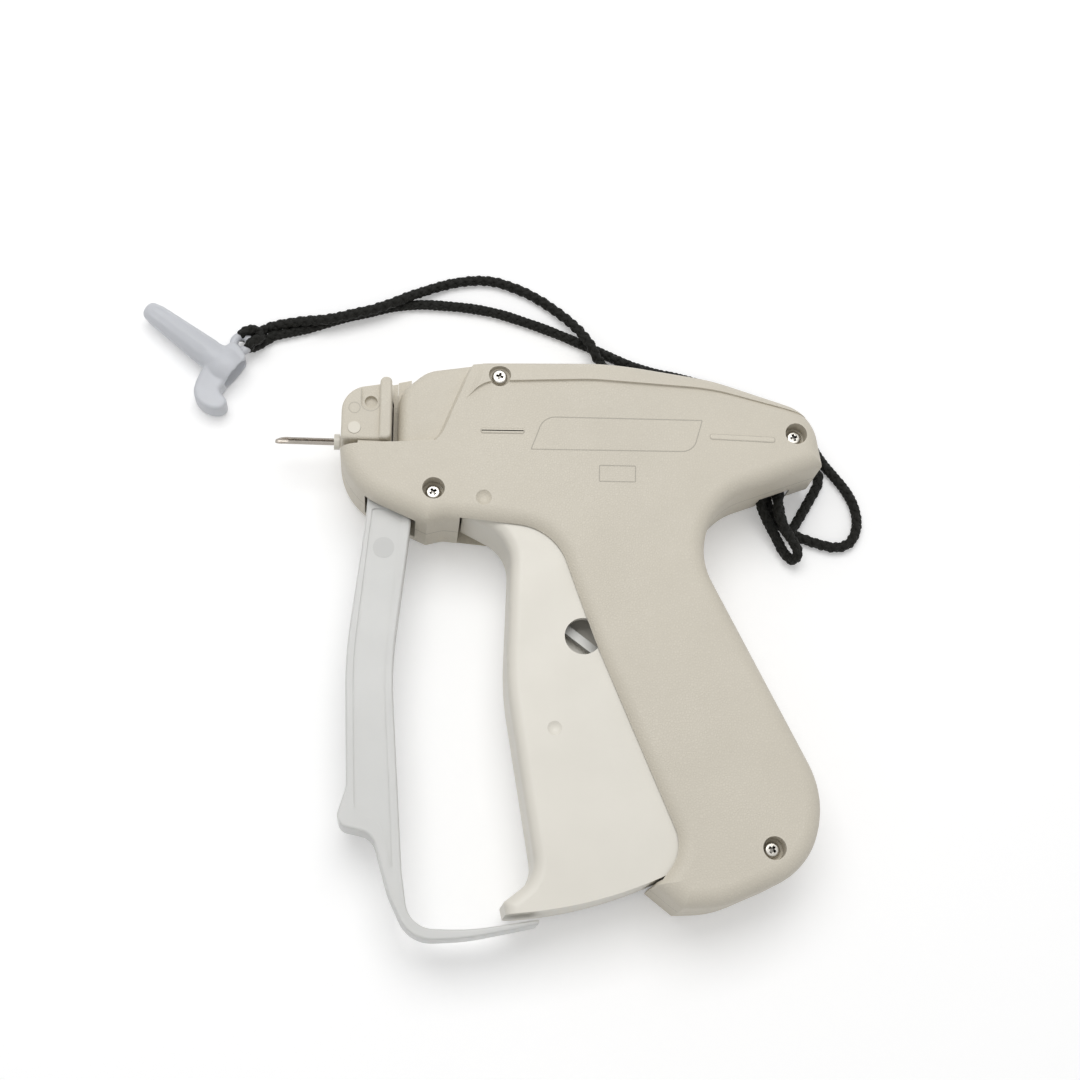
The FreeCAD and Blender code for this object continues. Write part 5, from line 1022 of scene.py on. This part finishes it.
class TAGTOOL_OT_face_marks(bpy.types.Operator):
    """Raise the bars, line the plates and the groove with painted shade, floor the slot, and shade
    the boss
    """

    bl_idname = "tag_tool.face_marks"
    bl_label = "Face marks"

    def execute(self, context):
        self.outline("name_plate_line", NAME_PLATE)
        self.outline("small_plate_line", SMALL_PLATE)
        self.outline(
            "lock_plate_line", self.disc(*LOCK_DISC), LOCK_FACE, "needle_lock", "faint_shade_line")
        self.groove_line()
        self.slot_floor()
        self.bar("front_bar", FRONT_BAR, sizes().mark_height)
        self.bar("rear_bar", REAR_BAR, sizes().mark_height * REAR_BAR_SHARE)
        self.ghost()
        return {"FINISHED"}

    def disc(self, centre, reach, radius):
        """The corners of a square that its rounding makes all but round."""
        x, y = centre
        return [
            ((x + along * reach, y + up * reach), radius)
            for along, up in ((-1, -1), (1, -1), (1, 1), (-1, 1))]

    def plan(self, corners, height):
        """One face with rounded corners."""
        bm = bmesh.new()
        verts = [bm.verts.new((x * MM, y * MM, height)) for (x, y), _radius in corners]
        bm.faces.new(verts)
        for vert, (_place, radius) in zip(verts, corners):
            bmesh.ops.bevel(
                bm, geom=[vert], offset=radius * MM, offset_type="OFFSET", segments=6,
                profile=0.5, affect="VERTICES", material=-1,
            )
        return bm

    def raised(self, bm, rise):
        """The faces moved up, with walls down to where they were; the new top faces."""
        grown = bmesh.ops.extrude_face_region(bm, geom=bm.faces[:], use_keep_orig=True)["geom"]
        verts = only(bmesh.types.BMVert, grown)
        bmesh.ops.translate(bm, verts=verts, vec=(0.0, 0.0, rise))
        return only(bmesh.types.BMFace, grown)

    def sloped(self, bm, tops, width, rise):
        """A slope inwards and up from the edge of the top faces."""
        bmesh.ops.inset_region(bm, faces=tops, thickness=width, depth=0.0)
        verts = list({vert for face in tops for vert in face.verts})
        bmesh.ops.translate(bm, verts=verts, vec=(0.0, 0.0, rise))

    def outline(self, name, corners, level=MAIN_FACE, body="housing", look="plate_shade_line"):
        """The fine line round a bare plate or disc: a darker strip of painted shade along its
        edge.
        """
        bm = self.plan(corners, level - MARK_FOOT)
        plate = max(bm.faces, key=lambda face: face.calc_area())
        bmesh.ops.inset_region(
            bm, faces=[plate], thickness=sizes().line_width, depth=0.0, use_boundary=True)
        bmesh.ops.delete(bm, geom=[plate], context="FACES")
        self.raised(bm, MARK_FOOT + LINE_RISE)
        self.settle(name, bm, look, body=body)

    def groove_line(self):
        """The fine line of painted shade that runs down, round and up beside the needle lock's
        groove.
        """
        right = GROOVE_CENTRE.x - GROOVE_REACH
        left = right - GROOVE_LINE
        top = GROOVE_CENTRE.y + GROOVE_LEG
        low, high = LOCK_FACE - MARK_FOOT, LOCK_FACE + LINE_RISE
        bm = bmesh.new()
        end = bm.faces.new([
            bm.verts.new((across, top, height))
            for across, height in ((left, low), (right, low), (right, high), (left, high))])
        run = bmesh.ops.extrude_face_region(bm, geom=[end], use_keep_orig=True)["geom"]
        bmesh.ops.translate(
            bm, verts=only(bmesh.types.BMVert, run), vec=(0.0, -GROOVE_LEG, 0.0))
        turned = bmesh.ops.spin(
            bm, geom=only(bmesh.types.BMFace, run), cent=GROOVE_CENTRE, axis=(0.0, 0.0, 1.0),
            angle=math.pi, steps=24,
        )["geom_last"]
        last = only(bmesh.types.BMFace, turned)
        run = bmesh.ops.extrude_face_region(bm, geom=last)["geom"]
        bmesh.ops.translate(
            bm, verts=only(bmesh.types.BMVert, run), vec=(0.0, GROOVE_LEG, 0.0))
        self.settle("lock_groove_line", bm, "faint_shade_line", body="needle_lock")

    def slot_floor(self):
        """The floor beside the narrow slit for the strip of fasteners."""
        bm = prism(SLOT_FLOOR, *SLOT_FLOOR_SPAN)
        bmesh.ops.scale(bm, vec=(MM, MM, MM), verts=bm.verts[:])
        self.settle("slot_floor", bm, "housing")

    def bar(self, name, corners, rise):
        """A raised bar with round ends and sloping sides."""
        bm = self.plan(corners, MAIN_FACE - MARK_FOOT)
        tops = self.raised(bm, MARK_FOOT + BAR_WALL)
        for width, share in BAR_SLOPES:
            self.sloped(bm, tops, width, rise * share)
        # The marks finish paints a highlight on the bar and shade at its foot.
        self.settle(name, bm, "marks")

    def ghost(self):
        """A darker disc of painted shade where the boss round the guard's pin shows through its
        skin.
        """
        bm = self.plan(self.disc(*GUARD_BOSS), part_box("guard")[1].z - BOSS_DEPTH)
        self.raised(bm, BOSS_THICKNESS)
        self.settle("guard_boss_shade", bm, "guard_boss_shade_painted", "guard")

    def settle(self, name, bm, look, slot="housing", body="housing"):
        bmesh.ops.recalc_face_normals(bm, faces=bm.faces[:])
        dress(as_object(name, mesh_from(bm, name)), slot, body, look)


# ---- screws
SCREW_TURNS = {"crown_screw": -15.0, "nose_screw": 33.0, "rear_screw": 20.0, "butt_screw": 55.0}
SHANK_RADIUS = 1.15
POINT_RADIUS = 0.5
POINT_LENGTH = 0.9
# The head's outline in mm: below its top, and in from its widest radius.
SCREW_HEAD = [
    (1.5, 0.15), (1.38, 0.0), (0.65, 0.0), (0.36, 0.07), (0.15, 0.22), (0.04, 0.42), (0.0, 0.65),
]
ARM_SIZE = (2.85, 0.92, 2.0)
ARM_FOOT = (0.35, 0.5, 1.0)
ARM_SINK = 0.1
RECESS_REACH = 1.50
RECESS_DEPTH = 1.3
SMOOTH_UP_TO = math.radians(32.0)


class TAGTOOL_OT_screws(bpy.types.Operator):
    """Turn the four pan-head screws and sink their cross recesses"""

    bl_idname = "tag_tool.screws"
    bl_label = "Screws"

    def execute(self, context):
        for node, turn in SCREW_TURNS.items():
            self.make(node, math.radians(turn))
        return {"FINISHED"}

    def make(self, node, turn):
        low, high = (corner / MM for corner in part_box(node))
        middle = (low + high) / 2
        head = (high.x - low.x) / 2
        profile = [
            (low.z, 0.0), (low.z, POINT_RADIUS), (low.z + POINT_LENGTH, SHANK_RADIUS),
            (high.z - SCREW_HEAD[0][0], SHANK_RADIUS),
            *((high.z - below, head - inward) for below, inward in SCREW_HEAD), (high.z, 0.0),
        ]
        bm = spun(profile, Vector((middle.x, middle.y, 0.0)), Vector((0.0, 0.0, 1.0)), 48)
        piece = as_object(node + "_form", mesh_from(bm, node))
        arms = [
            self.arm(middle, high.z, turn + quarter * math.pi / 2) for quarter in range(2)]
        helpers = combined(piece, "DIFFERENCE", arms)
        mesh = evaluated_mesh(piece, node + "_turned")
        put_away(helpers)
        smooth_faces(mesh)
        mesh.set_sharp_from_angle(angle=SMOOTH_UP_TO)
        piece = dress(as_object(node + "_turned", mesh), "screw")
        # Painted shade: faces inside the cross recess take the darker nickel.
        mesh.materials.append(finish("screw_recess_shade"))
        for face in mesh.polygons:
            away = math.hypot(face.center.x - middle.x, face.center.y - middle.y)
            steep = abs(face.normal.z) < 0.5
            rim = 0.02 if steep else 0.3
            if away < RECESS_REACH and rim < high.z - face.center.z < RECESS_DEPTH:
                face.material_index = 1
        mesh.transform(Matrix.Scale(MM, 4))
        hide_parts(node)

    def arm(self, middle, top, turn):
        """One arm of the recess, narrower at its foot."""
        bm = bmesh.new()
        bmesh.ops.create_cube(bm, size=1.0)
        bmesh.ops.scale(bm, vec=ARM_SIZE, verts=bm.verts[:])
        foot = [vert for vert in bm.verts if vert.co.z < 0.0]
        bmesh.ops.scale(bm, vec=ARM_FOOT, verts=foot)
        bmesh.ops.rotate(bm, verts=bm.verts[:], matrix=Matrix.Rotation(turn, 3, "Z"))
        bmesh.ops.translate(bm, verts=bm.verts[:], vec=(middle.x, middle.y, top - ARM_SINK))
        return bm


# ---- finishes on the frame
class TAGTOOL_OT_moulded_finishes(bpy.types.Operator):
    """Finish the moulded parts: halves, needle lock, trigger, guard, hub and lock pin"""

    bl_idname = "tag_tool.moulded_finishes"
    bl_label = "Moulded finishes"

    def execute(self, context):
        give_finish("housing", "near_half", "far_half", "needle_lock")
        give_finish("trigger", "trigger")
        give_finish("guard", "guard")
        give_finish("hub", "needle_hub")
        give_finish("lock_pin", "lock_pin")
        return {"FINISHED"}


class TAGTOOL_OT_metal_finishes(bpy.types.Operator):
    """Finish the metal parts: needle, blade, pins and springs"""

    bl_idname = "tag_tool.metal_finishes"
    bl_label = "Metal finishes"

    def execute(self, context):
        give_finish("needle", "needle")
        give_finish("blade", "cutter_blade")
        give_finish(
            "steel", "trigger_pivot_pin", "drive_arm_pin", "feed_wheel_pin", "feed_pawl_pin",
            "guard_pin", "link_pin_front", "link_pin_rear", "slider_pin", "push_rod",
            "feed_spring", "return_spring", "lanyard_eye",
        )
        return {"FINISHED"}


class TAGTOOL_OT_inner_finishes(bpy.types.Operator):
    """Finish the inner parts: linkage, slider, clip guide, feed wheel, pawl and stop"""

    bl_idname = "tag_tool.inner_finishes"
    bl_label = "Inner finishes"

    def execute(self, context):
        give_finish("acetal", "link", "drive_arm", "slider", "feed_wheel", "feed_pawl")
        give_finish("guide", "clip_guide")
        give_finish("rubber", "stop_pad")
        return {"FINISHED"}


# ---- add-on
OPERATORS = (
    TAGTOOL_OT_stage,
    TAGTOOL_OT_needle_cap,
    TAGTOOL_OT_lanyard,
    TAGTOOL_OT_face_marks,
    TAGTOOL_OT_screws,
    TAGTOOL_OT_moulded_finishes,
    TAGTOOL_OT_metal_finishes,
    TAGTOOL_OT_inner_finishes,
)


class TAGTOOL_PT_panel(bpy.types.Panel):
    """Lists the pieces, sizes and colours of the tag attacher"""

    bl_idname = "TAGTOOL_PT_panel"
    bl_label = "Tag attacher"
    bl_space_type = "VIEW_3D"
    bl_region_type = "UI"
    bl_category = "Tag attacher"

    def draw(self, context):
        layout = self.layout
        for operator in OPERATORS:
            layout.operator(operator.bl_idname)
        for group in (context.scene.tag_tool_sizes, context.scene.tag_tool_colours):
            column = layout.column()
            for name in group.__annotations__:
                column.prop(group, name)


CLASSES = (TagToolSizes, TagToolColours, *OPERATORS, TAGTOOL_PT_panel)


def register():
    for kind in CLASSES:
        bpy.utils.register_class(kind)
    bpy.types.Scene.tag_tool_sizes = bpy.props.PointerProperty(type=TagToolSizes)
    bpy.types.Scene.tag_tool_colours = bpy.props.PointerProperty(type=TagToolColours)


def unregister():
    del bpy.types.Scene.tag_tool_colours
    del bpy.types.Scene.tag_tool_sizes
    for kind in reversed(CLASSES):
        bpy.utils.unregister_class(kind)


def main():
    register()
    for operator in OPERATORS:
        group, name = operator.bl_idname.split(".")
        getattr(getattr(bpy.ops, group), name)()


if __name__ == "__main__":
    main()
